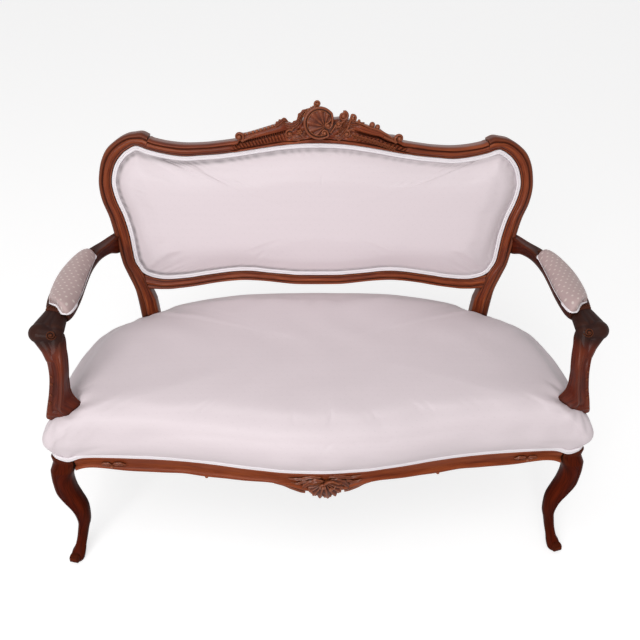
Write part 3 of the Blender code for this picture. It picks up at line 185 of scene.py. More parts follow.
def signed_volume(points, faces):
    """A sixth of the triple product of each triangle: negative when the faces point inwards."""
    quads = np.array([face if len(face) == 4 else face + face[-1:] for face in faces])
    a, b, c, d = (points[quads[:, step]] for step in range(4))
    return (np.einsum("ij,ij->i", a, np.cross(b, c)) + np.einsum("ij,ij->i", a, np.cross(c, d))).sum()


def surface(name, grids, finish, replaces=(), sharp=38):
    """A piece made of one or more grids of points, [along, across, xyz], each closed on itself. Its
    edges are sharp where the faces meet at more than `sharp` degrees."""
    points, faces, charts, start = [], [], [], 0
    for grid in grids:
        more_points, more_faces, more_chart = grid_parts(np.asarray(grid, float), start)
        own_faces = [[corner - start for corner in face] for face in more_faces]
        if signed_volume(more_points, own_faces) < 0:
            more_faces = [face[::-1] for face in more_faces]
            split = np.cumsum([len(face) for face in more_faces])[:-1]
            more_chart = np.vstack([part[::-1] for part in np.split(more_chart, split)])
        points.append(more_points)
        faces += more_faces
        charts.append(more_chart)
        start += len(more_points)
    mesh = bpy.data.meshes.new(name)
    points = np.vstack(points)
    mesh.from_pydata(points.tolist(), [], faces)
    layer = mesh.uv_layers.new(name="chart")
    layer.data.foreach_set("uv", np.vstack(charts).ravel())
    mesh.materials.append(finish)
    mesh.shade_smooth()
    mesh.set_sharp_from_angle(angle=radians(sharp))
    made = bpy.data.objects.new(name, mesh)
    scene.collection.objects.link(made)
    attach(made, "root")
    if replaces:
        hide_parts(*replaces)
    print("%-24s %6d faces" % (name, len(faces)))
    return made


# %% [markdown]
# ## Finishes
# Walnut that has been stained and French polished is a clear, smooth film over brown wood: the grain
# runs along each member, the hollows keep old dark polish and the rounded edges are rubbed lighter.
# Where parts shut the wood in, painted shade darkens it.
# The satin is a tight pale weave with small woven dots that catch the light; painted shade darkens it
# in folds, where parts shut it in, and along the back's seam.

# %% Colours and nodes
def linear(hex_colour):
    """sRGB hex to linear light: ((c + 0.055) / 1.055) to the power 2.4."""
    shares = np.array([int(hex_colour[k:k + 2], 16) / 255 for k in (1, 3, 5)])
    light = np.where(shares <= 0.04045, shares / 12.92, ((shares + 0.055) / 1.055) ** 2.4)
    return (*light, 1.0)


def node(tree, kind, inputs=None, **settings):
    """A shader node with its settings; an input is a value or the output that feeds it."""
    made = tree.nodes.new("ShaderNode" + kind)
    for key, value in settings.items():
        setattr(made, key, value)
    for key, value in (inputs or {}).items():
        if isinstance(value, bpy.types.NodeSocket):
            tree.links.new(value, made.inputs[key])
        else:
            made.inputs[key].default_value = value
    return made


def ramp(tree, factor, stops):
    """A colour ramp: places and hex colours."""
    made = node(tree, "ValToRGB", {"Fac": factor})
    band = made.color_ramp.elements
    for number, (place, colour) in enumerate(stops):
        stop = band[number] if number < 2 else band.new(place)
        stop.position, stop.color = place, linear(colour)
    return made.outputs["Color"]


def maths(tree, operation, first, second=0.0, third=0.0):
    """One step of arithmetic."""
    return node(tree, "Math", {0: first, 1: second, 2: third}, operation=operation).outputs[0]


def blank_finish(name, **constants):
    """A material with a Principled shader and the values that are the same all over."""
    made = bpy.data.materials.new(name)
    made.use_nodes = True
    tree = made.node_tree
    shader = tree.nodes["Principled BSDF"]
    for key, value in constants.items():
        shader.inputs[key.replace("_", " ")].default_value = value
    return made, tree, shader


# %% Walnut
def walnut_finish(name, dark, middle, light, gloss=0.30, rubbing=0.45, shine=0.35, coat=0.12):
    """French polished walnut. Streaks 2 mm across and 60 mm long follow the map's first axis. Old polish
    is dark where the surface is hollow, painted shade darkens it where it is shut in, and the rubbed
    edges are lighter."""
    made, tree, shader = blank_finish(name, IOR=1.45, Coat_Weight=coat, Coat_Roughness=0.14,
                                      Specular_IOR_Level=shine)
    place = node(tree, "TexCoord").outputs["UV"]
    run = node(tree, "Mapping", {"Vector": place, "Scale": (16, 420, 1)}).outputs[0]
    wide = node(tree, "Mapping", {"Vector": place, "Scale": (6, 55, 1)}).outputs[0]
    streak = node(tree, "TexNoise", {"Vector": run, "Scale": 1.0, "Detail": 4.0, "Roughness": 0.6}).outputs[0]
    band = node(tree, "TexNoise", {"Vector": wide, "Scale": 1.0, "Detail": 3.0, "Distortion": 0.6}).outputs[0]
    grain = maths(tree, "ADD", maths(tree, "MULTIPLY", streak, 0.55), maths(tree, "MULTIPLY", band, 0.45))
    wood = ramp(tree, grain, [(0.30, dark), (0.70, light), (0.48, middle)])
    hollow = node(tree, "Attribute", attribute_name="hollow").outputs["Fac"]
    # Painted shade: ambient occlusion darkens the wood where parts shut it in, as shade falls there.
    open_sky = node(tree, "AmbientOcclusion", {"Distance": 0.011}, samples=5).outputs["AO"]
    painted_crevice_shade = node(tree, "MapRange", {0: open_sky, 1: 0.92, 2: 0.42, 3: 0.0, 4: 1.0}).outputs[0]
    hollow = maths(tree, "MAXIMUM", hollow, painted_crevice_shade)
    # The dark old polish of the hollows, together with the painted shade of shut-in places.
    darkening = node(tree, "MixRGB", {"Fac": maths(tree, "MULTIPLY", hollow, 0.84), "Color1": wood,
                                "Color2": linear("#1b0805")}).outputs[0]
    worn = node(tree, "Attribute", attribute_name="worn").outputs["Fac"]
    rubbed = node(tree, "MixRGB", {"Fac": maths(tree, "MULTIPLY", worn, rubbing), "Color1": darkening,
                                   "Color2": linear("#a8603c")}).outputs[0]
    tree.links.new(rubbed, shader.inputs["Base Color"])
    duller = maths(tree, "MULTIPLY_ADD", hollow, 0.25, gloss - 0.06)
    rough = maths(tree, "ADD", maths(tree, "MULTIPLY", streak, 0.12), duller)
    tree.links.new(rough, shader.inputs["Roughness"])
    pores = node(tree, "Bump", {"Height": streak, "Strength": 0.12, "Distance": 0.0006}).outputs[0]
    tree.links.new(pores, shader.inputs["Normal"])
    return made


# The posts and the crest: red brown with orange streaks, and a soft shine.
walnut = walnut_finish("walnut_french_polished", "#391208", "#6a2913", "#a05028", 0.29, 0.25, 0.18, 0.05)
# The arm supports and knuckles: the same wood under darker polish.
dark_walnut = walnut_finish("walnut_dark_polish", "#2c0c06", "#541b0c", "#763013", 0.36, 0.20, 0.16, 0.07)
# The arms: hands have darkened them nearly to black.
arm_walnut = walnut_finish("walnut_handled_polish", "#260a05", "#451509", "#6c2811", 0.34, 0.18, 0.12, 0.05)
# The front legs: walnut painted darker as shade low down, a deep red black that hardly shines.
leg_walnut_painted_shade = walnut_finish("walnut_legs_painted_shade", "#230602", "#3f0f05", "#5e1c0a", 0.36, 0.26, 0.02, 0.0)
# The front rail: worn to a lighter, duller brown.
rail_walnut = walnut_finish("walnut_worn_polish", "#4e1d0c", "#7e3618", "#9c4f28", 0.40, 0.35, 0.12, 0.05)
# The carving: rubbed light on its tops, dark with old polish in its cuts, and darker still with painted shade
# where parts shut it in.
carving_walnut = walnut_finish("walnut_carving_polish", "#35120a", "#632913", "#884325", 0.28, 0.52, 0.28, 0.08)
# The hidden frame: pale wood with no polish.
beech = walnut_finish("beech_oiled", "#a67a4d", "#b98d5e", "#c79c6e", 0.55)


# %% Satin and cords
def satin_finish(name, ground, dot, pitch=(0.0255, 0.0130), strength=1.0, size=(0.0024, 0.0016)):
    """A woven satin with small dots in staggered rows: in each cell of the map, a dot is where the
    distance from the cell's middle, in radii of the dot, is under one. The dots are smoother than the
    ground, so they catch the window more. Painted shade darkens it in folds, where parts shut it in,
    and along a seam."""
    made, tree, shader = blank_finish(name, IOR=1.45, Sheen_Weight=0.25, Sheen_Roughness=0.4, Roughness=0.55)
    place = node(tree, "UVMap", uv_map="weave").outputs["UV"]
    split = node(tree, "SeparateXYZ", {0: place})
    across, along = split.outputs[0], split.outputs[1]
    row = maths(tree, "DIVIDE", along, pitch[1])
    shift = maths(tree, "MULTIPLY", maths(tree, "MODULO", maths(tree, "FLOOR", row), 2.0), 0.5)
    column = maths(tree, "ADD", maths(tree, "DIVIDE", across, pitch[0]), shift)
    squares = []
    for cells, cell, radius in ((column, pitch[0], size[0]), (row, pitch[1], size[1])):
        from_middle = maths(tree, "SUBTRACT", maths(tree, "FRACT", cells), 0.5)
        radii_away = maths(tree, "MULTIPLY", from_middle, cell / radius)
        squares.append(maths(tree, "MULTIPLY", radii_away, radii_away))
    away = maths(tree, "SQRT", maths(tree, "ADD", *squares))
    inside = node(tree, "MapRange", {0: away, 1: 0.7, 2: 1.15, 3: 1.0, 4: 0.0}).outputs[0]
    threads = node(tree, "Mapping", {"Vector": place, "Scale": (1300, 650, 1)}).outputs[0]
    weave = node(tree, "TexNoise", {"Vector": threads, "Scale": 1.0, "Detail": 1.0}).outputs[0]
    slub_place = node(tree, "Mapping", {"Vector": place, "Scale": (6, 90, 1)}).outputs[0]
    slub = node(tree, "TexNoise", {"Vector": slub_place, "Scale": 1.0, "Detail": 3.0}).outputs[0]
    tone = node(tree, "MapRange", {0: slub, 1: 0.25, 2: 0.75, 3: 0.990, 4: 1.006}).outputs[0]
    # Painted shade: ambient occlusion darkens the satin in folds and where parts shut it in.
    open_sky = node(tree, "AmbientOcclusion", {"Distance": 0.018}, samples=5).outputs["AO"]
    painted_fold_shade = node(tree, "MapRange", {0: open_sky, 1: 0.40, 2: 0.90, 3: 0.74, 4: 1.0}).outputs[0]
    tone = maths(tree, "MULTIPLY", tone, painted_fold_shade)
    # Painted shade along the cushion's seam, read from a point attribute.
    painted_seam_shade = node(tree, "Attribute", attribute_name="painted_seam_shade").outputs["Fac"]
    tone = maths(tree, "MULTIPLY", tone, maths(tree, "MULTIPLY_ADD", painted_seam_shade, -0.62, 1.0))
    base = node(tree, "MixRGB", {"Fac": maths(tree, "MULTIPLY", inside, strength), "Color1": linear(ground),
                                 "Color2": linear(dot)}).outputs[0]
    toned = node(tree, "MixRGB", {"Fac": 1.0, "Color1": base, "Color2": tone}, blend_type="MULTIPLY").outputs[0]
    tree.links.new(toned, shader.inputs["Base Color"])
    tree.links.new(maths(tree, "MULTIPLY_ADD", inside, -0.22, 0.56), shader.inputs["Roughness"])
    height = maths(tree, "ADD", maths(tree, "MULTIPLY", weave, 0.25), maths(tree, "MULTIPLY", inside, 0.5))
    tree.links.new(node(tree, "Bump", {"Height": height, "Strength": 0.35, "Distance": 0.0004}).outputs[0],
                   shader.inputs["Normal"])
    return made


# The seat and the back: a pale, cool pink with a silky sheen.
satin = satin_finish("satin_with_woven_dots", "#ded1d5", "#d3c6ca", strength=0.28)
# The arm pads: the same satin in a darker, brownish pink, where the dots stand out pale.
pad_satin = satin_finish("satin_of_the_arm_pads", "#b8a09e", "#d9cbc4", pitch=(0.0200, 0.0120),
                         strength=0.85, size=(0.0036, 0.0021))


def cloth_finish(name, thread, shade, scale, rough=0.8, bump=0.5):
    """A plain weave: two waves crossed at right angles make the threads, and noise makes them uneven."""
    made, tree, shader = blank_finish(name, IOR=1.45, Sheen_Weight=0.2)
    place = node(tree, "TexCoord").outputs["UV"]
    warp, weft = (node(tree, "TexWave", {"Vector": place, "Scale": scale, "Distortion": 0.6, "Detail": 1.0},
                       bands_direction=way).outputs[1] for way in ("X", "Y"))
    thread_height = maths(tree, "MAXIMUM", warp, weft)
    mixed = node(tree, "MixRGB", {"Fac": thread_height, "Color1": linear(shade),
                                  "Color2": linear(thread)}).outputs[0]
    tree.links.new(mixed, shader.inputs["Base Color"])
    shader.inputs["Roughness"].default_value = rough
    threads = node(tree, "Bump", {"Height": thread_height, "Strength": bump, "Distance": 0.0005}).outputs[0]
    tree.links.new(threads, shader.inputs["Normal"])
    return made


# The cords: the whitest cloth, clean because nothing rubs it.
cord_cloth = cloth_finish("satin_cord", "#f1ebee", "#e3dbe0", 160)
# The straps, the canvas and the dust cover: coarse, matt cloths in brown, straw and black.
jute = cloth_finish("jute_webbing", "#a98a5e", "#6f5636", 90)
hessian = cloth_finish("hessian_canvas", "#b09570", "#80684a", 110)
cambric = cloth_finish("black_cambric", "#1d1c20", "#100f12", 150)
# The springs and tacks: drawn steel, grey with a blurred shine.
steel, _, steel_shader = blank_finish("spring_steel", Metallic=1.0, Roughness=0.38)
steel_shader.inputs["Base Color"].default_value = linear("#8d9096")
print("finishes:", len(bpy.data.materials))

# %% [markdown]
# ## The back's plane
# The back is straight and leans back; at the seat it bends, and the legs splay to the floor. A point of
# it is given by its place across, its height along the lean, and its distance in front of the face.

# %% Sizes that the frame shares
half_width, panel_height, lower_lift = 0.5841, 0.412, 0.052
rear_y, back_z = 0.211, 0.500
rake, splay, bend_top, bend_length = radians(13), radians(18), -0.085, 0.140
rise, depth, joint_gap = 0.012, 0.032, 0.0003


def back_line(height):
    """Straight above, then an arc of bend_length, then straight: y, z and lean at a height along it."""
    radius = bend_length / (rake + splay)
    lean = np.clip(rake - (bend_top - height) / radius, -splay, rake)
    above, below = np.maximum(height - bend_top, 0), np.maximum(bend_top - bend_length - height, 0)
    y = rear_y + bend_top * sin(rake) + radius * (cos(rake) - np.cos(lean))
    z = back_z + bend_top * cos(rake) - radius * (sin(rake) - np.sin(lean))
    return y + above * sin(rake) + below * sin(splay), z + above * cos(rake) - below * cos(splay), lean


def back_point(x, height, forward):
    """Out from the line, square to its lean."""
    y, z, lean = back_line(np.asarray(height, float))
    x, y, z, lean, forward = np.broadcast_arrays(x, y, z, lean, forward)
    return np.stack([x, y - forward * np.cos(lean), z + forward * np.sin(lean)], axis=-1)


# %% Outlines of the back, in shares of its half width and of the panel's height
post_low = [(0.795, -0.388, 0.877, -0.388), (0.795, -0.226, 0.882, -0.231), (0.803, -0.102, 0.889, -0.102),
            (0.824, -0.010, 0.898, -0.007)]
post_ring = [(0.844, 0.100, 0.926, 0.114), (0.877, 0.187, 0.940, 0.182), (0.885, 0.279, 0.950, 0.279),
             (0.890, 0.388, 0.961, 0.388), (0.906, 0.515, 0.974, 0.510), (0.930, 0.624, 0.995, 0.619),
             (0.940, 0.721, 1.000, 0.716), (0.932, 0.794, 0.991, 0.801), (0.911, 0.864, 0.974, 0.879),
             (0.877, 0.922, 0.945, 0.949), (0.842, 0.956, 0.901, 1.002), (0.818, 0.971, 0.856, 1.036),
             (0.796, 0.966, 0.818, 1.047), (0.779, 0.956, 0.785, 1.051), (0.769, 0.950, 0.757, 1.033)]
leg_taper = [(0.818, 0.877), (0.806, 0.877), (0.797, 0.877)]
crest_inner = [(0.00, 1.000), (0.09, 0.996), (0.18, 0.983), (0.27, 0.964), (0.36, 0.943), (0.45, 0.925),
               (0.54, 0.915), (0.60, 0.909), (0.65, 0.914), (0.71, 0.929), (0.769, 0.950)]
crest_plain = [(0.36, 1.018), (0.40, 1.007), (0.45, 0.997), (0.51, 0.987), (0.58, 0.982), (0.63, 0.984),
               (0.68, 0.992), (0.72, 1.003), (0.755, 1.016), (0.77, 1.02)]
crest_carved = [(-0.366, 1.021), (-0.356, 1.045), (-0.334, 1.048), (-0.267, 1.075), (-0.180, 1.114),
                (-0.157, 1.124), (-0.130, 1.112), (-0.112, 1.107), (-0.092, 1.130), (-0.070, 1.150),
                (-0.050, 1.176), (-0.026, 1.190), (0.000, 1.190), (0.021, 1.181), (0.038, 1.164),
                (0.060, 1.150), (0.096, 1.154), (0.127, 1.142), (0.160, 1.130), (0.197, 1.112),
                (0.230, 1.098), (0.262, 1.088), (0.284, 1.066), (0.310, 1.048), (0.341, 1.042), (0.365, 1.021)]
lower_rail = [(0.000, 0.75, 0.19), (0.100, 0.76, 0.20), (0.154, 0.81, 0.25), (0.205, 0.86, 0.32),
              (0.257, 0.92, 0.39), (0.308, 0.99, 0.43), (0.360, 1.01, 0.45), (0.410, 0.98, 0.42),
              (0.460, 0.91, 0.36), (0.514, 0.82, 0.27), (0.570, 0.72, 0.15), (0.617, 0.625, 0.06),
              (0.668, 0.56, -0.02), (0.720, 0.51, -0.09), (0.770, 0.52, -0.10)]
unit = np.array([half_width, panel_height] * 2)


# %% Members of the back
moulding = smooth([(0.00, -0.10), (0.02, 0.14), (0.06, 0.36), (0.10, 0.44), (0.14, 0.42), (0.17, 0.42),
                   (0.22, 0.56), (0.30, 0.82), (0.40, 0.98), (0.50, 0.98), (0.58, 0.86), (0.62, 0.72),
                   (0.65, 0.66), (0.68, 0.70), (0.74, 0.86), (0.82, 0.90), (0.90, 0.74), (0.97, 0.36),
                   (1.00, -0.10)], 60)
behind = np.array([(1.0, -0.3), (1.0, -0.6), (1.0, -0.85), (0.985, -0.94), (0.95, -0.985), (0.88, -1.0),
                   (0.6, -1.0), (0.3, -1.0), (0.12, -1.0), (0.05, -0.985), (0.015, -0.94), (0.0, -0.85),
                   (0.0, -0.6), (0.0, -0.3)])
plain_leg = smooth([(0.00, -0.10), (0.03, 0.20), (0.10, 0.42), (0.30, 0.50), (0.70, 0.50), (0.90, 0.42),
                    (0.97, 0.20), (1.00, -0.10)], 60)


def member(rows, front):
    """Across each row of inner and outer points, the front profile: shares of the width and metres
    forward, one profile for all rows or one for each; then the flat rear with rounded edges."""
    rows = np.asarray(rows, float)
    front = np.broadcast_to(front, (len(rows), *np.shape(front)[-2:]))
    rear = np.broadcast_to(behind * [1, depth], (len(rows), *behind.shape))
    section = np.concatenate([front, rear], axis=1)
    place = rows[:, None, :2] + section[..., :1] * (rows[:, None, 2:] - rows[:, None, :2])
    return back_point(place[..., 0], place[..., 1], section[..., 1])


def flipped(grid, side):
    """The right side's grid, or its mirror image for the left, -1."""
    return np.asarray(grid) * (side, 1, 1)


# %% Old polish in the hollows
def weather(piece, reach=0.0035):
    """Curvature at each point: the mean step to its neighbours along the normal, over half the mean
    squared step. Times reach, it fills `hollow` where it is positive and `worn` where it is negative."""
    mesh = piece.data
    points, normals = read(mesh.vertices, "co", 3), read(mesh.vertices, "normal", 3)
    a, b = read(mesh.edges, "vertices", 2, int).T
    step = points[b] - points[a]
    square = (step ** 2).sum(axis=1) + 1e-12
    bend, weight = np.zeros(len(points)), np.zeros(len(points))
    for here, way in ((a, 1), (b, -1)):
        np.add.at(bend, here, way * (step * normals[here]).sum(axis=1) / square)
        np.add.at(weight, here, 1)
    bend = 2 * bend / np.maximum(weight, 1)
    for _ in range(3):
        total = bend.copy()
        np.add.at(total, a, bend[b])
        np.add.at(total, b, bend[a])
        bend = total / (weight + 1)
    for name, value in (("hollow", bend), ("worn", -bend)):
        layer = mesh.attributes.new(name, "FLOAT", "POINT")
        layer.data.foreach_set("value", np.clip(value * reach, 0, 1).astype(np.float32))
    return piece


def shaded(piece, rows, band):
    """Painted shade along a member: one value for each point across, the same in every row."""
    layer = piece.data.attributes["hollow"]
    value = read(layer.data, "value", kind=np.float32)
    value[:rows * len(band)] = np.maximum(value[:rows * len(band)], np.tile(band, rows))
    layer.data.foreach_set("value", value)


def carved(name, grids, replaces=(), finish=walnut):
    """A piece of walnut with its old polish."""
    return weather(surface(name, grids, finish, replaces))


# %% [markdown]
# ## Posts, lower rail and crest rail
# A joiner cuts each member's outline from a plank and then works the moulding along it: a small step
# inside, a broad swell, a thin groove and a bead outside. So each member is one profile carried from
# row to row, and the rows run smoothly through the outline's points.

# %% Back posts
foot = bend_top - bend_length - float(back_line(np.array(bend_top - bend_length))[1]) / cos(splay)
leg_heights = np.linspace(foot, post_low[0][1] * panel_height, len(leg_taper), endpoint=False)
leg_rows = np.array([(a * half_width, h, b * half_width, h) for (a, b), h in zip(leg_taper, leg_heights)])
knots = np.vstack([leg_rows, np.array(post_low) * unit, np.array(post_ring) * unit])
post_rows = np.vstack([smooth(knots[:6], 70)[:-1], smooth(knots[5:], 330)])
moulded = ease(post_rows[:, 1], -0.150, -0.100)[:, None, None]
front = (plain_leg + moulded * (moulding - plain_leg)) * [1, rise]
rail_seat_y, rail_seat_z = rear_y - 0.0305, (0.300, 0.3853)
# Painted shade on each post: its outer bead and edge, and its rear, are darker.
painted_shade_outer, painted_shade_rear = 0.50, 0.4
painted_shade_band = np.concatenate([painted_shade_outer * ease(moulding[:, 0], 0.64, 0.70), np.full(len(behind), painted_shade_rear)])
post_grid = member(post_rows, front)
lowest = post_grid[0]
post_grid[0] = lowest + (lowest[:, 2:] / cos(splay)) * np.array([[0, sin(splay), -cos(splay)]])
housed = (post_grid[..., 2] > rail_seat_z[0]) & (post_grid[..., 2] < rail_seat_z[1])
post_grid[..., 1] = np.where(housed, np.maximum(post_grid[..., 1], rail_seat_y), post_grid[..., 1])
for side, hand in ((-1, "left"), (1, "right")):
    post = carved("back_post_" + hand, [flipped(post_grid, side)], ["back_post_" + hand])
    shaded(post, len(post_grid), painted_shade_band)

# %% Lower back rail
lower_unit = [half_width, lower_lift, lower_lift]
table = smooth(np.array(lower_rail) * lower_unit, 150)
lower_half = np.column_stack([table[:, 0], table[:, 1], table[:, 0], table[:, 2]])
end_low, end_high = np.array(post_low[-1]) * unit, np.array(post_ring[0]) * unit
end_row = np.concatenate([end_high[:2], end_low[:2]]) - [joint_gap, 0] * 2
lower_half = np.vstack([lower_half, end_row])
lower_rows = np.vstack([(lower_half * [-1, 1, -1, 1])[:0:-1], lower_half])
carved("lower_back_rail", [member(lower_rows, moulding * [1, rise])], ["lower_back_rail"])

# %% Crest rail
inner_knots = smooth(crest_inner, 120)
plain_knots = smooth(crest_plain, 120)
carved_knots = smooth(crest_carved, 400)
x_share = np.concatenate([np.linspace(-0.769, -0.40, 90, endpoint=False), np.linspace(-0.40, 0.40, 560),
                          np.linspace(0.769, 0.40, 90, endpoint=False)[::-1]])
crest_low = looked_up(inner_knots, np.abs(x_share))
crest_high = np.where((x_share > carved_knots[0, 0]) & (x_share < carved_knots[-1, 0]),
                      looked_up(carved_knots, x_share), looked_up(plain_knots, np.abs(x_share)))
lean_start, lean_run, joint_lean = 0.74, 0.029, 0.014
lean_out = np.where(np.abs(x_share) > lean_start, (np.abs(x_share) - lean_start) / lean_run, 0)
x_high = x_share - np.sign(x_share) * joint_lean * lean_out
crest_rows = np.column_stack([x_share, crest_low, x_high, crest_high]) * unit


def crest_front(x):
    """Metres forward for each x and each share across: plain moulding towards the ears; in the carved
    wings a bead, a band of leaves, a row of flutes on the left, and a round fillet on top."""
    t = np.linspace(0, 1, 76)
    across = np.broadcast_to(t, (len(x), len(t)))
    along = np.broadcast_to(x[:, None], across.shape)
    plain = looked_up(moulding, t) * rise
    way = np.sign(along)
    bead = 0.0095 * np.sqrt(np.clip(1 - ((across - 0.085) / 0.095) ** 2, 0, 1))
    place = np.clip((across - 0.20) / 0.36, 0, 1)
    phase = along / np.where(way < 0, 0.0082, 0.0105) - 0.75 * way * place
    leaf = 1 - np.abs(2 * (phase % 1) - 1) ** 1.4
    vein = 0.5 + 0.5 * np.cos(2 * pi * (along / 0.0035 + 1.5 * way * place))
    leaf_height = np.where(way < 0, 0.0038, 0.0055) * leaf + 0.0011 * vein
    band = 0.0050 + np.sin(pi * place) ** 0.5 * leaf_height * (across > 0.19) * (across < 0.57)
    slot_row = hump(across, 0.615, 0.045)
    slot = (0.5 + 0.5 * np.cos(2 * pi * along / 0.0058)) ** 0.8
    flutes = 0.0090 - 0.0050 * slot_row * np.where(way < 0, slot, 1.0)
    fillet = 0.0095 + 0.0040 * np.sqrt(np.clip(1 - ((across - 0.82) / 0.15) ** 2, 0, 1))
    carving = np.select([across < 0.185, across < 0.565, across < 0.67], [bead, band, flutes], fillet)
    centre = ease(0.105 - np.abs(along), 0, 0.03)
    ground = 0.0085 + 0.0012 * np.sin(along / 0.004) * np.sin(across * 21)
    carving = np.where(across < 0.185, bead, carving + centre * (ground - carving))
    carving = carving + (-0.0012 - carving) * np.clip((across - 0.975) / 0.025, 0, 1) ** 2
    share = ease(0.405 * half_width - np.abs(along), 0, 0.02)
    height = plain + share * (carving - plain)
    height[:, 0] = height[:, -1] = -0.0012
    return np.stack([across, height], axis=-1)


crest_grid = member(crest_rows, crest_front(crest_rows[:, 0]))
carved("crest_rail", [crest_grid], ["crest_rail"])

# %% [markdown]
# ## Relief carving
# The carver's relief is made of a few motions of the gouge: scrolls that roll into an eye, pearls,
# leaves with a raised rib, and a fluted shell. Each is a small closed surface, laid out flat as
# across, up and forward in millimetres, and then put on the back's plane.

# %% Scrolls, pearls and leaves
def roll(path, wide, high, base, sides=12):
    """A round ridge along a flat path: the section is an ellipse square to the path."""
    path = np.asarray(path, float)
    side = leftwards(directions(path))
    angle = np.linspace(0, 2 * pi, sides, endpoint=False)
    wide, high, base = (np.broadcast_to(value, len(path))[:, None] for value in (wide, high, base))
    flat = path[:, None] + side[:, None] * (wide * np.cos(angle))[..., None]
    return np.concatenate([flat, (base + high * np.sin(angle))[..., None]], axis=-1)


def spiral(centre, start_radius, end_radius, start, sweep, count=40):
    """Points round a centre, in degrees, with a radius that changes evenly."""
    share = np.linspace(0, 1, count)
    angle = np.radians(start + sweep * share)
    radius = start_radius + (end_radius - start_radius) * share
    return np.array(centre) + radius[:, None] * np.column_stack([np.cos(angle), np.sin(angle)])


def pearl(x, height, radius, base, rows=9, columns=12):
    """A ball: latitude by longitude, a little flattened."""
    across = np.linspace(0, 2 * pi, columns, endpoint=False)
    up_angle = np.linspace(-1.5, 1.5, rows)[:, None]
    return np.stack(np.broadcast_arrays(x + radius * np.cos(up_angle) * np.cos(across),
                                        height + radius * np.cos(up_angle) * np.sin(across),
                                        base + radius * np.sin(up_angle)), axis=-1)


def leaf(path, width, high, base, lobes=4, ribs=0.25):
    """A leaf along a path: widest a third of the way, scalloped at its edge, with a raised rib and
    veins; underneath it is flat."""
    path = even(smooth(path, 40), 30)
    share = np.linspace(0, 1, 30)
    side = leftwards(directions(path))
    half = width * (np.sin(pi * share ** 0.7) ** 0.8 + 0.06) * (1 + 0.16 * np.cos(2 * pi * lobes * share))
    top = np.linspace(-1, 1, 17)
    crown = (1 - np.abs(top) ** 1.7) * (1 - 0.35 * hump(np.abs(top), 0.35, 0.14)) + 0.22 * hump(top, 0, 0.12)
    stripes = 0.5 + 0.5 * np.cos(2 * pi * (2 * lobes * share[:, None] - 1.5 * np.abs(top)))
    vein = 1 - ribs * stripes * (np.abs(top) < 0.95)
    across = np.concatenate([top, top[-2:0:-4]])
    lift = np.concatenate([crown * vein, np.full((30, len(top[-2:0:-4])), -0.6)], axis=1)
    flat = path[:, None] + side[:, None] * (half[:, None] * across)[..., None]
    arch = np.sin(pi * np.clip(share, 0.02, 0.98))[:, None] ** 0.5
    return np.concatenate([flat, (base + high * arch * lift)[..., None]], axis=-1)


def taper(count, start, middle, end):
    """A width that starts, swells and ends as given."""
    return np.interp(np.linspace(0, 1, count), [0, 0.5, 1], [start, middle, end])


def on_back(grids):
    """Flat millimetres to the back's plane."""
    return [back_point(*(np.moveaxis(grid, -1, 0) * 0.001)) for grid in grids]


def scroll(centre, radius, start, sweep, thick, base, tail=()):
    """A tail that runs into a spiral with a ball as its eye."""
    turn_path = spiral(centre, radius, radius * 0.45, start, sweep)
    path = np.vstack([smooth(np.vstack([tail, turn_path[:1]]), 24)[:-1], turn_path]) if len(tail) else turn_path
    wide = taper(len(path), 0.7 * thick, thick, 0.6 * thick)
    high = taper(len(path), thick, 1.3 * thick, thick)
    return [roll(path, wide, high, base), pearl(*centre, radius * 0.52, base + thick * 0.5)]


# %% The cartouche: a fluted shell in a C-scroll
ring_x, ring_h, ring_radius = -4.3, 464.4, 38.0
upper_end = [(32.5, 5), (30, -7), (22.5, -11.5), (16.5, -7), (17, -0.5), (21.5, 1)]
lower_end = [(7.5, -24), (9, -19), (15, -17.5), (20.5, -22)]
arc = spiral((0, 0), ring_radius, ring_radius, 306, -280, 60)
ring_path = np.vstack([lower_end, arc[::3], upper_end])
ring_path = even(smooth(ring_path, 300), 150) + (ring_x, ring_h)
rim_base = 16.5
cartouche = [roll(ring_path, taper(150, 2.2, 4.0, 2.2), taper(150, 3.0, 4.6, 3.2), rim_base, 14)]
inner_rim = spiral((ring_x, ring_h), 31.2, 31.2, 300, -262, 80)
cartouche.append(roll(inner_rim, taper(80, 1.0, 1.9, 1.0), 2.6, rim_base - 0.6, 10))
cartouche += [pearl(ring_x + 21.5, ring_h - 5.5, 5.2, 19.5), pearl(ring_x + 13.5, ring_h - 24.5, 5.0, 19.0)]
beads_at = spiral((ring_x, ring_h), 43.2, 43.2, 158, -52, 8)
cartouche += [pearl(x, h, 3.0, 13.5, 7, 10) for x, h in beads_at]


def shell_fan(hinge, reach_centre, reach, start, sweep, flutes, base, high, rows=26, columns=150):
    """A fan of flutes from a hinge to a circle: along each ray the distance to the circle is the root
    of a quadratic; the height is a dome with a cosine of the angle, deeper towards the rim."""
    angle = np.radians(start + sweep * np.linspace(0, 1, columns))
    ray = np.column_stack([np.cos(angle), np.sin(angle)])
    offset = np.array(hinge) - reach_centre
    dot = ray @ offset
    far = -dot + np.sqrt(dot ** 2 - offset @ offset + reach ** 2)
    share = np.linspace(0.03, 1, rows)[:, None]
    wave = np.cos(2 * pi * flutes * np.linspace(0, 1, columns))
    height = base + high * (np.sin(pi * share * 0.62) + 0.30 * wave * share ** 0.7 - 0.15 * share)
    edge = share * far * (1 + 0.02 * wave * share)
    top = np.concatenate([np.array(hinge) + edge[..., None] * ray, height[..., None]], axis=-1)
    under = top[::-1].copy()
    under[..., 2] = base - 3
    return np.concatenate([top, under], axis=0).transpose(1, 0, 2)


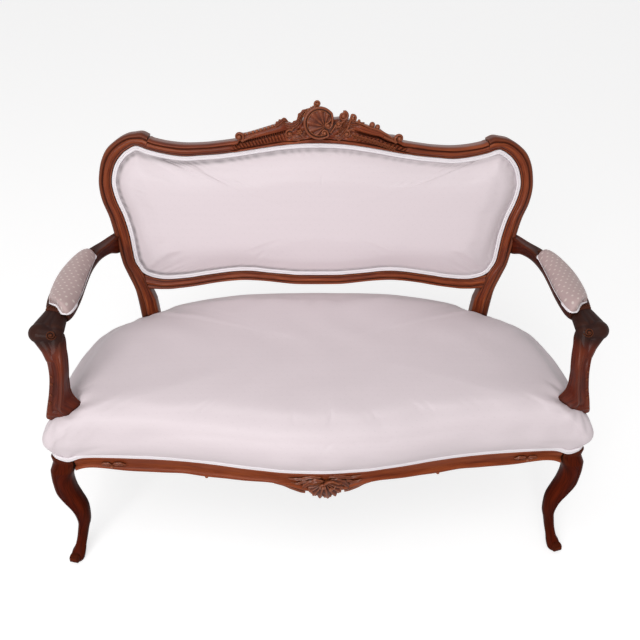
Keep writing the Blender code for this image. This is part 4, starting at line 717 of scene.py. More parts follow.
cartouche.append(shell_fan((ring_x + 13, ring_h - 9), (ring_x, ring_h), 30.5, 20, 262, 9, 11.5, 6.5))
turns = np.linspace(0, 2 * pi, 60, endpoint=False)
cartouche.append(np.array([[(ring_x + radius * cos(angle), ring_h + radius * sin(angle), out)
                            for angle in turns]
                           for radius, out in ((36, 6), (36, 12.0), (31, 12.4), (4, 12.4))]))
finial_tail = [(ring_x + 8, ring_h + 38), (ring_x - 4, ring_h + 37)]
cartouche += scroll((ring_x - 6.0, ring_h + 46.5), 8.0, 250, -420, 2.9, 12.5, finial_tail)
carved("crest_cartouche", on_back(cartouche), ["crest_cartouche"], carving_walnut)

# %% Scrolls, leaves and pearls of the crest
wing = []
for way, end, start, sweep in ((-1, (-209.8, 427.5), 300, 330), (1, (203.5, 427.5), 240, -330)):
    tail = [(end[0] - way * 40, end[1] + 4), (end[0] - way * 18, end[1] - 5)]
    wing += scroll(end, 12.0, start, sweep, 4.0, 12.5, tail)
bead_x = np.linspace(-194, -104, 10)
bead_h = looked_up(carved_knots, bead_x / 1000 / half_width) * panel_height * 1000
wing += [pearl(x, h + 0.5, 4.6, 5.5, 7, 10) for x, h in zip(bead_x, bead_h)]
wing += [leaf([(-118, 452), (-104, 462), (-93, 470), (-84, 466)], 8.5, 6.5, 9.5),
         leaf([(-97, 463), (-82, 456), (-66, 460), (-54, 474), (-45, 489)], 8.0, 6.0, 9.0),
         leaf([(-60, 470), (-52, 482), (-43, 492), (-33, 499)], 6.5, 5.5, 9.0, 3),
         leaf([(-74, 424), (-58, 426), (-44, 432), (-40, 443)], 7.0, 4.5, 9.0, 3)]
wing += scroll((-80.8, 436.0), 10.5, 60, 330, 3.0, 9.0, [(-66, 455), (-72, 450)])
for petal in np.radians(np.arange(0, 360, 72)):
    wing.append(pearl(-54.5 + 4.6 * cos(petal), 440.5 + 4.6 * sin(petal), 3.1, 10.0, 7, 9))
wing.append(pearl(-54.5, 440.5, 2.6, 13.0, 7, 9))
wing += scroll((56.2, 482.0), 11.5, 80, -400, 4.2, 10.5, [(38, 452), (48, 462), (60, 474)])
wing += scroll((80.7, 476.5), 8.6, 110, -380, 3.4, 10.0, [(66, 448), (72, 462)])
wing += scroll((44.5, 462.5), 8.0, 200, 380, 2.7, 13.0, [(24, 440), (30, 448)])
wing += [leaf([(60, 470), (74, 462), (90, 462), (112, 466)], 8.0, 6.0, 9.0),
         leaf([(36, 430), (50, 430), (58, 440), (66, 452)], 8.5, 5.5, 9.5, 4),
         leaf([(62, 476), (58, 462), (52, 448), (44, 440)], 6.5, 5.5, 9.0, 3)]
wing += [pearl(131.5, 461.0, 7.6, 8.0), pearl(145.5, 455.5, 7.0, 8.0), pearl(97, 470, 4.2, 8.5)]
wing += scroll((67.2, 437.5), 8.6, 130, -340, 2.8, 9.5, [(86, 446), (76, 448)])
rope_path = even(smooth([(78, 432), (110, 424), (145, 414), (180, 403), (208, 396)], 100), 120)
for number in range(15):
    start_x, start_h = rope_path[6 + number * 7]
    wing.append(leaf([(start_x - 7, start_h + 7.0), (start_x, start_h + 1.5), (start_x + 6, start_h - 5.5)],
                     3.9, 3.4, 9.0, 2, 0.1))
fall = np.array([(88, 468), (104, 463), (124, 455), (148, 448), (168, 438), (188, 427), (207, 421)])
wing.append(roll(even(smooth(fall, 80), 60), taper(60, 1.5, 3.4, 1.8), taper(60, 2.5, 4.0, 2.5), 10.5))
carved("crest_carving", on_back(wing), (), carving_walnut)

# %% [markdown]
# ## Front rail
# The rail is bent in plan like a bow: forward in the middle, with the corners square under the seat.
# A bead runs along its scalloped lower edge, the face above it is hollow, and the tacking ledge behind
# holds the upholstery. Its plan is one curve, moved inwards square to itself for each point of the section.

# %% The seat's plan
seat_half_width, seat_depth, seat_bow = 0.660, 0.486, 0.058
front_corner_y = rear_y - seat_depth
ledge_z, rail_top_z, web_ledge_z, show_height = 0.352, 0.385, 0.335, 0.048
thickness, rebate, skirt = 0.034, 0.010, 0.016
front_plan = [(0.00, 1.00), (0.09, 0.96), (0.16, 0.90), (0.22, 0.80), (0.30, 0.66), (0.38, 0.49),
              (0.46, 0.34), (0.54, 0.22), (0.62, 0.13), (0.70, 0.07), (0.78, 0.02), (0.85, -0.01),
              (0.918, 0.00), (1.0, 0.0)]
side_plan = [(1.000, 0.0), (1.000, 0.095), (0.996, 0.280), (0.979, 0.465), (0.948, 0.609), (0.903, 0.733),
             (0.847, 0.835), (0.800, 0.901), (0.760, 0.955), (0.715, 0.990), (0.667, 1.000)]
front_drop = [(0.00, 1.50), (0.05, 1.48), (0.085, 1.36), (0.12, 1.12), (0.16, 0.94), (0.205, 0.87),
              (0.29, 0.96), (0.36, 1.01), (0.44, 1.07), (0.52, 0.98), (0.59, 1.04), (0.67, 1.04),
              (0.74, 1.00), (0.82, 0.82), (0.87, 0.76), (0.905, 0.86), (0.95, 1.20)]
side_drop = [(0.09, 0.52), (0.20, 0.80), (0.40, 1.00), (0.60, 0.98), (0.80, 0.80), (1.00, 0.60)]
front_both = [(-across, out) for across, out in front_plan[:0:-1]] + front_plan
front_line = smooth(front_both, 500) * [seat_half_width, -seat_bow]
front_line = even(front_line + [0, front_corner_y], 560)
side_line = even(smooth(side_plan, 240) * [seat_half_width, seat_depth] + [0, front_corner_y], 240)


def beside(line, distance):
    """The line moved to its left by a distance, square to itself."""
    return line + leftwards(directions(line)) * np.reshape(distance, (-1, 1))


def rail(line, drop):
    """The rail's section carried along its plan: metres in from the face, and height, for each point."""
    low = (ledge_z - drop)[:, None]
    share = np.array([0, 0.04, 0.10, 0.17, 0.24, 0.30, 0.34, 0.40, 0.52, 0.66, 0.80, 0.90, 0.94, 0.97, 1.0])
    out = 0.001 * np.array([2.0, -2.6, -4.8, -5.0, -3.8, 0.2, 3.2, 3.8, 3.9, 3.4, 2.0, 0.4, -0.4, -0.2, 0.4])
    face_z = low + share * (ledge_z - low)
    rest = [(rebate, ledge_z), (rebate, rail_top_z), (thickness, rail_top_z), (thickness, web_ledge_z),
            (skirt, web_ledge_z), (skirt, None)]
    distance = np.concatenate([out, [d for d, _ in rest]])
    rest_z = [low if level is None else np.full_like(low, level) for _, level in rest]
    z = np.concatenate([face_z] + rest_z, axis=1)
    plan = np.stack([beside(line, d) for d in distance], axis=1)
    return np.concatenate([plan, z[..., None]], axis=-1)


def drops(table, share):
    """How far the rail hangs below its ledge, from a table of shares along it."""
    return show_height * looked_up(smooth(table, 200), share)


block_width, block_depth, block_bottom_z = 0.048, 0.046, 0.328
leg_face = (seat_half_width - block_width - joint_gap, front_corner_y + block_depth + joint_gap)
between = front_line[np.abs(front_line[:, 0]) < leg_face[0]]
front_drops = drops(front_drop, np.abs(between[:, 0]) / seat_half_width)
carved("front_rail", [rail(between, front_drops)], ["front_rail"], rail_walnut)

# %% Side rails
side_run = side_line[(side_line[:, 1] > leg_face[1]) & (side_line[:, 1] < rail_seat_y - joint_gap)]
side_grid = rail(side_run, drops(side_drop, (side_run[:, 1] - front_corner_y) / seat_depth))
side_grid[..., 0] = np.maximum(side_grid[..., 0], post_low[0][0] * half_width + 0.002)
for side, hand in ((-1, "left"), (1, "right")):
    carved("side_rail_" + hand, [flipped(side_grid, side)], ["side_rail_" + hand])

# %% Carving on the front rail
front_run, front_way = lengths(front_line), directions(front_line)
middle_run = np.interp(0, front_line[:, 0], front_run)


def on_front(grids):
    """Flat millimetres to the rail's face: across along the curve from its middle, up from the ledge,
    and forward square to the curve."""
    placed = []
    for grid in grids:
        along, height, out = np.moveaxis(grid, -1, 0) * 0.001
        run = middle_run + along
        x, y = (np.interp(run, front_run, front_line[:, k]) for k in (0, 1))
        ax, ay = (np.interp(run, front_run, front_way[:, k]) for k in (0, 1))
        placed.append(np.stack([x + ay * out, y - ax * out, ledge_z + height], axis=-1))
    return placed


shell = [shell_fan((0, -30), (3, -44), 41, 176, 188, 9, 0.0, 11.0, 20, 170)]
lobes = spiral((3, -44), 39.5, 39.5, 196, 148, 9)
shell += [pearl(x, h, 4.4, 5.5, 8, 11) for x, h in lobes]
shell += scroll((-3, -37), 9.0, 80, 330, 3.0, 11.0, [(34, -26), (20, -17), (8, -18)])
shell += scroll((15, -50), 5.0, 250, 360, 2.2, 10.0, [(26, -34), (24, -44)])
shell += [leaf([(-4, -24), (-24, -26), (-42, -38), (-56, -58)], 8.0, 7.0, 2.5, 4),
          leaf([(14, -22), (34, -26), (52, -40), (66, -62)], 8.0, 7.0, 2.5, 4),
          leaf([(-8, -15), (-34, -16), (-60, -24), (-88, -22)], 6.0, 3.6, -0.5, 4),
          leaf([(10, -14), (36, -14), (62, -20), (90, -12)], 6.5, 3.8, -0.5, 5),
          leaf([(-30, -30), (-50, -34), (-66, -42), (-82, -36)], 4.5, 3.2, -0.5, 3),
          leaf([(44, -30), (60, -34), (76, -38), (92, -30)], 4.5, 3.2, -0.5, 3)]
for run in ([(-122, -42), (-98, -47), (-76, -59), (-58, -69), (-46, -72)],
            [(118, -41), (98, -46), (80, -57), (64, -66), (51, -70)]):
    shell.append(roll(even(smooth(run, 60), 50), taper(50, 2.0, 5.0, 4.0), taper(50, 2.0, 4.5, 4.5), 0.5))
carved("front_shell", on_front(shell), ["front_shell"], carving_walnut)
sprays = []
for way in (-1, 1):
    for at, level in ((524, -33), (291, -50)):
        for steps, wide, high in (([(-16, 9), (-34, 6)], 5.5, 4.5), ([(14, 8), (30, 3)], 5.0, 4.2)):
            path = [(way * at, level)] + [(way * (at + along), level + lift) for along, lift in steps]
            sprays.append(leaf(path, wide, high, -1.0, 3))
        sprays.append(pearl(way * at, level + 1, 4.6, 2.0))
carved("front_rail_carving", on_front(sprays), (), carving_walnut)

# %% [markdown]
# ## Cabriole legs
# The leg swings out at the knee, in at the ankle and out again to a scrolled toe, and it is cut from
# one block, so its section stays a rounded square. Two grooves run down each front edge.

# %% The leg's rows
# Each row: the share of the way up, the centre's reach outwards and forwards in shares of the foot's,
# and the half width in shares of the knee's.
leg_shape = [(0.000, 0.235, 0.965, 0.50), (0.018, 0.235, 0.990, 0.62), (0.061, 0.190, 0.920, 0.62),
             (0.104, 0.125, 0.810, 0.50), (0.168, 0.055, 0.650, 0.47), (0.260, -0.030, 0.530, 0.49),
             (0.335, -0.100, 0.460, 0.55), (0.427, -0.105, 0.400, 0.64), (0.503, -0.055, 0.340, 0.74),
             (0.588, 0.070, 0.280, 0.82), (0.686, 0.175, 0.235, 0.87), (0.800, 0.185, 0.200, 0.86),
             (0.870, 0.155, 0.160, 0.91), (0.935, 0.085, 0.090, 1.05)]
knee_half, foot_reach, corner_radius, block_corner = 0.029, 0.085, 0.020, 0.004
block_x, block_y = seat_half_width - block_width / 2, front_corner_y + block_depth / 2


def square_ring(centre, half, radii, steps=10):
    """Rounded rectangles, one for each row: at each corner an arc of the row's radius, the outer front
    corner first."""
    rings = []
    for number, (start, way_x, way_y) in enumerate(((-90, 1, -1), (0, 1, 1), (90, -1, 1), (180, -1, -1))):
        arc = radii[:, 0 if number == 0 else 1][:, None]
        angle = np.radians(start + np.linspace(0, 90, steps))
        rings.append(np.stack([centre[:, :1] + way_x * (half[:, :1] - arc) + arc * np.cos(angle),
                               centre[:, 1:] + way_y * (half[:, 1:] - arc) + arc * np.sin(angle)], axis=-1))
    return np.concatenate(rings, axis=1)


def raised(rings, levels):
    """Rings in plan, each at its level."""
    return np.concatenate([rings, np.broadcast_to(levels[:, None, None], (*rings.shape[:2], 1))], axis=-1)


# %% The leg, proud of its block and grooved
leg_table = smooth(leg_shape, 200)
leg_half = leg_table[:, 3:] * knee_half * np.ones((1, 2))
leg_centre = np.column_stack([block_x + leg_table[:, 1] * foot_reach,
                              block_y - leg_table[:, 2] * foot_reach])
leg_z = leg_table[:, 0] * block_bottom_z
top_z = np.array([block_bottom_z, block_bottom_z + 0.004, ledge_z - 0.002, ledge_z])
proud = 0.0015
block_half = np.array([[block_width / 2 + proud, block_depth / 2 + proud]] * 4)
centres = np.vstack([leg_centre, [[block_x + proud, block_y - proud]] * 4])
halves = np.vstack([leg_half, block_half])
leg_radii = np.column_stack([0.7 * leg_half[:, 0], 0.85 * leg_half[:, 0]])
radii = np.vstack([leg_radii, [[0.75 * corner_radius, block_corner]] * 4])
leg_plan = square_ring(centres, halves, radii)
leg_levels = np.concatenate([leg_z, top_z])
outline = np.linspace(0, 4, leg_plan.shape[1], endpoint=False)
inward = centres[:, None] - leg_plan
inward /= np.linalg.norm(inward, axis=2, keepdims=True)
groove = sum(hump(outline, place, 0.045) for place in (0.10, 0.86, 1.12, 3.84))
strength = 0.0016 * ease(leg_levels, 0.045, 0.09) * ease(0.335 - leg_levels, 0, 0.02)
leg_plan = leg_plan + inward * (strength[:, None] * groove)[..., None]
leg_grid = raised(leg_plan, leg_levels)

# %% The toe, the block inside the seat, and both legs
toe_way = np.array([0.235, -0.99])
toe = np.array([block_x, block_y]) + toe_way * foot_reach
toe_ahead = toe_way / np.hypot(*toe_way)
toe_side = np.array([-toe_ahead[1], toe_ahead[0]])
toe_forward, toe_half, toe_radius, toe_centre_z, toe_bottom_z = 0.0103, 0.0135, 0.0128, 0.0151, 0.0023
toe_profile = [(-1, 0.0), (-1, 0.55), (-0.94, 0.72), (-0.80, 0.80), (-0.72, 1.0), (0.72, 1.0), (0.80, 0.80),
               (0.94, 0.72), (1, 0.55), (1, 0.0)]
around = np.linspace(0, 2 * pi, 36, endpoint=False)
toe_rings = []
for place, size in toe_profile:
    wheel = toe + toe_ahead * toe_forward + toe_side * (place * toe_half)
    radius = toe_radius * size
    toe_rings.append(np.column_stack([wheel + np.outer(radius * np.cos(around), toe_ahead),
                                      toe_centre_z + radius * np.sin(around)]))
toe_grid = np.array(toe_rings)
toe_grid[..., 2] = np.maximum(toe_grid[..., 2], toe_bottom_z)
inner_block = np.array([[block_x - rebate / 2, block_y + rebate / 2]] * 2)
stub = square_ring(inner_block, np.array([[(block_width - rebate) / 2, (block_depth - rebate) / 2]] * 2),
                   np.array([[corner_radius - rebate, block_corner]] * 2))
stub_grid = raised(stub, np.array([ledge_z - 0.004, rail_top_z]))
for side, hand in ((-1, "left"), (1, "right")):
    carved("front_leg_" + hand, [flipped(grid, side) for grid in (leg_grid, toe_grid, stub_grid)],
           ["front_leg_" + hand], leg_walnut_painted_shade)

# %% [markdown]
# ## Arms
# An arm leaves the post, bows outwards and ends in a knuckle that the hand closes on. Its section is
# flat on top for the pad. The knuckle has a spiral carved on its front, and short flutes lie behind it.

# %% The arm
# Each row of the arm: the centre's place outwards, forwards and down in shares of the spread, the reach
# and the drop, and the half width and half height in shares of arm_half.
arm_z, arm_reach, arm_spread, arm_root_x, arm_root_y = 0.64994, 0.40289, 0.08477, 0.55314, 0.03462
arm_half, arm_drop, pad_crown = 0.0345, 0.021, 0.032
arm_shape = [(-0.05, -0.034, 1.05, 0.28, 0.80), (0.11, 0.028, 1.00, 0.36, 0.78),
             (0.28, 0.109, 0.48, 0.42, 0.52), (0.49, 0.221, 0.10, 0.50, 0.47),
             (0.685, 0.370, 0.00, 0.76, 0.45), (0.785, 0.531, 0.00, 1.01, 0.45),
             (0.785, 0.692, 0.00, 1.06, 0.45), (0.770, 0.804, 0.00, 0.92, 0.48),
             (0.815, 0.850, 0.00, 0.76, 0.46)]
arm_section = [(-0.92, 1.00), (0.00, 1.00), (0.92, 1.00), (0.99, 0.62), (1.00, 0.10), (0.90, -0.50),
               (0.62, -0.88), (0.00, -1.00), (-0.62, -0.88), (-0.90, -0.50), (-1.00, 0.10), (-0.99, 0.62)]
skyward = np.array([0, 0, 1])


def arm_line(place):
    """Centre, sideways direction, half width and half height where the arm's table says."""
    table = smooth_at(arm_shape, place)
    centre = np.column_stack([arm_root_x + table[:, 0] * arm_spread,
                              rear_y + arm_root_y - table[:, 1] * arm_reach,
                              arm_z - table[:, 2] * arm_drop])
    ahead = np.gradient(centre, axis=0)
    across = np.column_stack([-ahead[:, 1], ahead[:, 0], np.zeros(len(ahead))])
    across /= np.linalg.norm(across, axis=1, keepdims=True)
    return centre, across, table[:, 3] * arm_half, table[:, 4] * arm_half


def closed(rows, count):
    """A smooth closed curve through a table of points."""
    rows = np.array(rows, float)
    looped = np.vstack([rows[-1:], rows, rows[:2]])
    return smooth_at(looped, np.linspace(1, len(rows) + 1, count, endpoint=False))


centre, across, wide, high = arm_line(np.linspace(0, 8, 150))
section = closed(arm_section, 64)
section[:, 0] *= 1 - 0.035 * hump(np.abs(section[:, 1] - 0.62), 0, 0.12) * (np.abs(section[:, 0]) > 0.9)
arm_grid = (centre[:, None] + across[:, None] * (wide[:, None] * section[:, 0])[..., None]
            + skyward * (high[:, None] * section[:, 1])[..., None])


# %% Balls that melt into one form
def facing(grids, spot, out, upwards=(0, 0, 1)):
    """Flat millimetres to a plane through a spot: across to the right as seen from outside, up, and out."""
    out = np.array(out) / np.linalg.norm(out)
    across_way = np.cross(upwards, out)
    across_way /= np.linalg.norm(across_way)
    frame_axes = np.array([across_way, np.cross(out, across_way), out])
    return [np.array(spot) + grid * 0.001 @ frame_axes for grid in grids]


def ball(spot, radii, rows=28, columns=44):
    """An ellipsoid in space."""
    return pearl(0, 0, 1.0, 0, rows, columns) * radii + spot


def row_of_balls(start, end, count=18):
    """Ellipsoids from one spot and its radii to another, close enough to melt into one form."""
    steps = np.linspace(0, 1, count)[:, None]
    rows = np.array(start) + steps * (np.array(end) - start)
    return [ball(row[:3], row[3:], 14, 22) for row in rows]


def melted(name, grids, finish, voxel=0.0011, passes=24):
    """Overlapping forms turned into one skin: a grid of voxels, and then each point moved towards the
    mean of its neighbours a few times. Its map is the plan."""
    piece = surface(name, grids, finish)
    skin = piece.modifiers.new("skin", "REMESH")
    skin.mode, skin.voxel_size, skin.use_smooth_shade = "VOXEL", voxel, True
    ease_off = piece.modifiers.new("ease", "SMOOTH")
    ease_off.factor, ease_off.iterations = 0.5, passes
    made = bpy.data.meshes.new_from_object(piece.evaluated_get(bpy.context.evaluated_depsgraph_get()))
    piece.modifiers.clear()
    piece.data = made
    points = read(made.vertices, "co", 3)
    map_points(made, "chart", points[:, 1::-1] + points[:, 2:] * (0, 0.7))
    print("%-24s %6d faces melted" % (name, len(made.polygons)))
    return piece


def blacken(piece, low=0.610, high=0.640, axis=2, most=1.1):
    """Old polish that hands have darkened, from nothing at the low place to all at the high one."""
    layer = piece.data.attributes["hollow"]
    value, points = read(layer.data, "value", kind=np.float32), read(piece.data.vertices, "co", 3)
    darkening = most * ease(np.abs(points[:, axis]), low, high)
    layer.data.foreach_set("value", np.maximum(value, darkening).astype(np.float32))


# %% The knuckle, its spirals, the cuff and the flutes
# Each row of balls: the first one's place and radii, and the last one's.
knuckle_rows = [
    ((0.6310, -0.084, 0.6510, 0.0225, 0.020, 0.0165), (0.6440, -0.134, 0.6475, 0.0245, 0.023, 0.0205)),
    ((0.6180, -0.084, 0.6510, 0.0170, 0.020, 0.0165), (0.6160, -0.140, 0.6480, 0.0200, 0.019, 0.0195)),
    ((0.6240, -0.084, 0.6510, 0.0210, 0.020, 0.0170), (0.6300, -0.138, 0.6480, 0.0210, 0.021, 0.0205)),
    ((0.6450, -0.156, 0.6400, 0.0190, 0.018, 0.0175), (0.6300, -0.172, 0.6180, 0.0160, 0.0145, 0.0165)),
    ((0.6300, -0.172, 0.6180, 0.0160, 0.0145, 0.0165), (0.6240, -0.182, 0.5980, 0.0140, 0.0135, 0.0140)),
    ((0.6468, -0.1485, 0.6465, 0.0262, 0.0258, 0.0230), (0.6200, -0.152, 0.6420, 0.0190, 0.019, 0.0190)),
    ((0.6150, -0.148, 0.6440, 0.0185, 0.019, 0.0190), (0.6155, -0.166, 0.6180, 0.0195, 0.0165, 0.0180)),
    ((0.6155, -0.166, 0.6180, 0.0195, 0.0165, 0.0180), (0.6140, -0.181, 0.5960, 0.0175, 0.0150, 0.0150))]
knuckle = [grid for start, end in knuckle_rows for grid in row_of_balls(start, end)]
eye = spiral((0, 0), 11.0, 4.0, 200, 560, 90)
eye_roll = roll(eye, taper(90, 1.0, 1.8, 1.4), taper(90, 2.0, 2.6, 2.0), taper(90, -2.6, -0.8, 0.0))
eye_grids = facing([eye_roll, pearl(0, 0, 3.6, 0.4)], (0.6160, -0.1675, 0.6560), (-0.22, -0.66, 0.72))
middle, out, half, tall = arm_line(np.array([7.75, 7.85, 7.95]))
cuff_share = np.linspace(1.04, -0.80, 40)
cuff_fall = 0.014 * ease(np.abs(cuff_share), 0.8, 1.04)
cuff_run = (middle[1] + out[1] * (cuff_share * half[1])[:, None]
            + np.outer(tall[1] + 0.001 - cuff_fall, skyward))
back_way = (middle[0] - middle[2]) / np.linalg.norm(middle[0] - middle[2])
flute_run = np.outer(np.linspace(0.001, 0.018, 12), back_way)
flute_rise = np.outer(tall[1] + np.linspace(0.0035, -0.001, 12), skyward)
flutes = [middle[1] + out[1] * (share * half[1]) + flute_run + flute_rise
          for share in (0.84, 0.56, 0.28, 0.00, -0.28)]


# %% Cords, and both arms
def cord(path, radius, sides=10, closed_path=False):
    """A round section carried along a line in space. Its frame is square to the line and stays level."""
    path = np.asarray(path, float)
    ahead = directions(path, closed_path)
    side = np.cross(ahead, skyward)
    side /= np.linalg.norm(side, axis=1, keepdims=True)
    over = np.cross(side, ahead)
    angle = np.linspace(0, 2 * pi, sides, endpoint=False)
    radius = np.broadcast_to(radius, len(path))[:, None, None]
    circle = side[:, None] * np.cos(angle)[:, None] + over[:, None] * np.sin(angle)[:, None]
    grid = path[:, None] + radius * circle
    return np.concatenate([grid, grid[:1]]) if closed_path else grid


root_knob = ball((0.5985, 0.1540, 0.6620), (0.0070, 0.0085, 0.0065), 12, 16)
arm_parts = [arm_grid, root_knob] + eye_grids + [cord(cuff_run, 0.0042)]
arm_parts += [cord(run, taper(12, 0.0032, 0.0034, 0.0018)) for run in flutes]
for side, hand in ((-1, "left"), (1, "right")):
    arm = carved("arm_" + hand, [flipped(grid, side) for grid in arm_parts], ["arm_" + hand], arm_walnut)
    blacken(arm, 0.565, 0.600, axis=0, most=0.85)
    blacken(weather(melted("knuckle_" + hand, [flipped(grid, side) for grid in knuckle], dark_walnut)))

# %% [markdown]
# ## Arm supports
# The support stands on the side rail, leans back and inwards to the knuckle, and has a sunk panel with
# raised edges on its front. At the foot it rolls inwards into a scroll that lies on the seat.

# %% The support's rows
# Each row: the share of the height, the centre's place inwards and backwards in shares of the taper and
# the lean, and the two half widths in shares of support_half.
support_foot_z, support_x, support_y, support_half = 0.449, 0.632, rear_y - 0.430, 0.030
support_lean, support_taper, support_height = 0.060, 0.016, 0.1708
support_turn = radians(12)
support_shape = [(-0.400, -0.12, 0.00, 0.60, 0.53), (-0.060, -0.12, 0.00, 0.60, 0.56),
                 (0.000, -0.30, 0.00, 0.70, 0.60), (0.076, -0.20, 0.02, 0.68, 0.58),
                 (0.240, 0.25, 0.08, 0.64, 0.55), (0.440, 0.81, 0.20, 0.61, 0.54),
                 (0.680, 1.31, 0.35, 0.60, 0.53), (0.850, 1.30, 0.58, 0.64, 0.54),
                 (0.960, 1.08, 0.77, 0.70, 0.54), (1.040, 1.05, 0.98, 0.66, 0.52),
                 (1.100, 1.08, 1.12, 0.55, 0.45)]
# How far the foot flares: metres by height, and its share from front to rear, higher up and at the seat.
flare_table = [(0.4490, 0.022), (0.4535, 0.0275), (0.457, 0.0305), (0.463, 0.0335), (0.469, 0.0345),
               (0.475, 0.0330), (0.484, 0.0255), (0.494, 0.0170), (0.504, 0.0100), (0.520, 0.0040),
               (0.552, 0.0)]
flare_high = [(-1.0, 0.00), (-0.8, 0.12), (-0.5, 0.34), (-0.2, 0.58), (0.25, 0.86), (0.7, 1.00),
              (1.0, 0.97)]
flare_low = [(-1.0, 0.62), (-0.5, 0.72), (0.0, 0.86), (0.7, 1.00), (1.0, 0.97)]

# %% The sunk panel
# A place goes once round the section: 0 in the middle of its front, and half a turn at its rear.
levels = np.concatenate([np.linspace(0, 3, 60, endpoint=False), np.linspace(3, 10, 110)])
table = smooth_at(support_shape, levels)
support_z = np.maximum(support_foot_z + table[:, 0] * support_height, rail_top_z + joint_gap)
support_centre = np.column_stack([support_x - table[:, 1] * support_taper,
                                  support_y + table[:, 2] * support_lean])
support_size = table[:, 3:] * support_half
plan = square_ring(support_centre * 0, support_size, 0.30 * support_size[:, 1:] * np.ones((1, 2)))
middle_front = (plan[:, :1] + plan[:, -1:]) / 2
plan = np.array([even(np.vstack([start, ring, start]), 145)[:-1]
                 for start, ring in zip(middle_front, plan)])
share = plan / support_size[:, None]
place = (np.linspace(0, 1, 144, endpoint=False) + 0.5) % 1 - 0.5
hollow_strip = ease(0.078 - np.abs(place), 0, 0.030)
edge_bead = hump(np.abs(place), 0.108, 0.012)
side_cut = hump(np.abs(place), 0.325, 0.010)
shown = ease(table[:, 0], 0.105, 0.140) * ease(1.00 - table[:, 0], 0, 0.25)
foot_bead = hump(table[:, 0], 0.070, 0.016)[:, None] * ease(0.135 - np.abs(place), 0, 0.01)
relief = shown[:, None] * (0.0042 * hollow_strip - 0.0016 * edge_bead + 0.0014 * side_cut)
relief = relief - 0.0018 * foot_bead
plan = plan * (1 - relief / np.linalg.norm(plan, axis=2))[..., None]

# %% The flared foot, the curls, and both supports
turned = plan @ np.array([[cos(support_turn), sin(support_turn)], [-sin(support_turn), cos(support_turn)]])
low_down = ease(0.486 - support_z, 0, 0.030)[:, None]
to_rear = share[..., 1]
along = (1 - low_down) * looked_up(flare_high, to_rear) + low_down * looked_up(flare_low, to_rear)
flare = looked_up(flare_table, support_z)[:, None] * along
turned[..., 0] -= flare * np.clip((1 - share[..., 0]) / 2, 0, 1)
support_grid = raised(turned + support_centre[:, None], support_z)
curls = []
for level, radius, start in ((0.497, 4.6, 250), (0.519, 3.2, 200), (0.548, 4.2, 250), (0.569, 2.8, 200)):
    spot = support_grid[np.argmin(np.abs(support_z - level)), np.argmin(np.abs(place - 0.080))]
    curls += facing(scroll((0, 0), radius, start, 420, 1.2, 0.0), spot, (0.30, -1, 0.10))
for side, hand in ((-1, "left"), (1, "right")):
    support_parts = [flipped(grid, side) for grid in [support_grid] + curls]
    blacken(carved("arm_support_" + hand, support_parts, ["arm_support_" + hand], dark_walnut))

# %% [markdown]
# ## Upholstery
# The satin is pulled tight over stuffing and closed with a double cord, two cords sewn side by side.
# Each cushion is built as rings from its edge to its crown, so the cloth keeps its weave along them;
# a cloth simulation then blows it up a little, held at its edge, as stuffing does.

# %% Cloth on stuffing
def with_ends(values):
    """A value for each point of a grid of rings, and then the means of its first and last rings."""
    ends = [values[:1].mean(axis=1), values[-1:].mean(axis=1)]
    return np.concatenate([values.reshape(-1, *values.shape[2:])] + ends)


def stuffed(name, grid, finish, held_rows, weave, cap, painted_seam_shade=None):
    """A closed pad from rings of points. Its first rings stay where they are; the rest swell under
    pressure for twenty frames, by no more than the cap. Along the seam, painted shade darkens the cloth."""
    piece = surface(name, [grid], finish, [name], sharp=60)
    mesh = piece.data
    held = piece.vertex_groups.new(name="held")
    held.add(list(range(held_rows * grid.shape[1])), 1.0, "REPLACE")
    cloth = piece.modifiers.new("stuffing", "CLOTH")
    cloth.settings.use_pressure = True
    cloth.settings.uniform_pressure_force = 4.0
    cloth.settings.vertex_group_mass = "held"
    cloth.settings.effector_weights.gravity = 0
    cloth.settings.quality = 4
    cloth.point_cache.frame_end = 20
    for number in range(1, 21):
        scene.frame_set(number)
    blown_up = piece.evaluated_get(bpy.context.evaluated_depsgraph_get()).data
    rest, moved = read(mesh.vertices, "co", 3), read(blown_up.vertices, "co", 3)
    piece.modifiers.remove(cloth)
    piece.vertex_groups.remove(held)
    scene.frame_set(1)
    step = moved - rest
    far = np.linalg.norm(step, axis=1, keepdims=True)
    step = step * np.minimum(1, cap / np.maximum(far, 1e-9))
    mesh.vertices.foreach_set("co", (rest + step).ravel())
    mesh.update()
    print(name, "swelled by up to", round(float(far.max()) * 1000, 1), "mm, capped at", cap * 1000)
    map_points(mesh, "weave", with_ends(weave))
    # Painted shade along the seam, kept as a point attribute for the satin.
    if painted_seam_shade is not None:
        layer = mesh.attributes.new("painted_seam_shade", "FLOAT", "POINT")
        layer.data.foreach_set("value", with_ends(painted_seam_shade).astype(np.float32))


def piped(name, path, radius, replaces=(), closed_path=False):
    """A cord covered with satin along a line."""
    surface(name, [cord(path, radius, 12, closed_path)], cord_cloth, replaces)


# %% The edge of the back panel
def inset(loop, distance):
    """A closed loop moved inwards, square to itself."""
    return loop + leftwards(directions(loop, ring=True)) * distance


lower_top = smooth([(x * half_width, top * lower_lift) for x, top, _ in lower_rail], 150)
stile = post_rows[np.searchsorted(post_rows[:, 1], 0.06):, :2]
crest_edge = np.column_stack([x_share, crest_low])[x_share >= 0][::-1] * unit[:2]
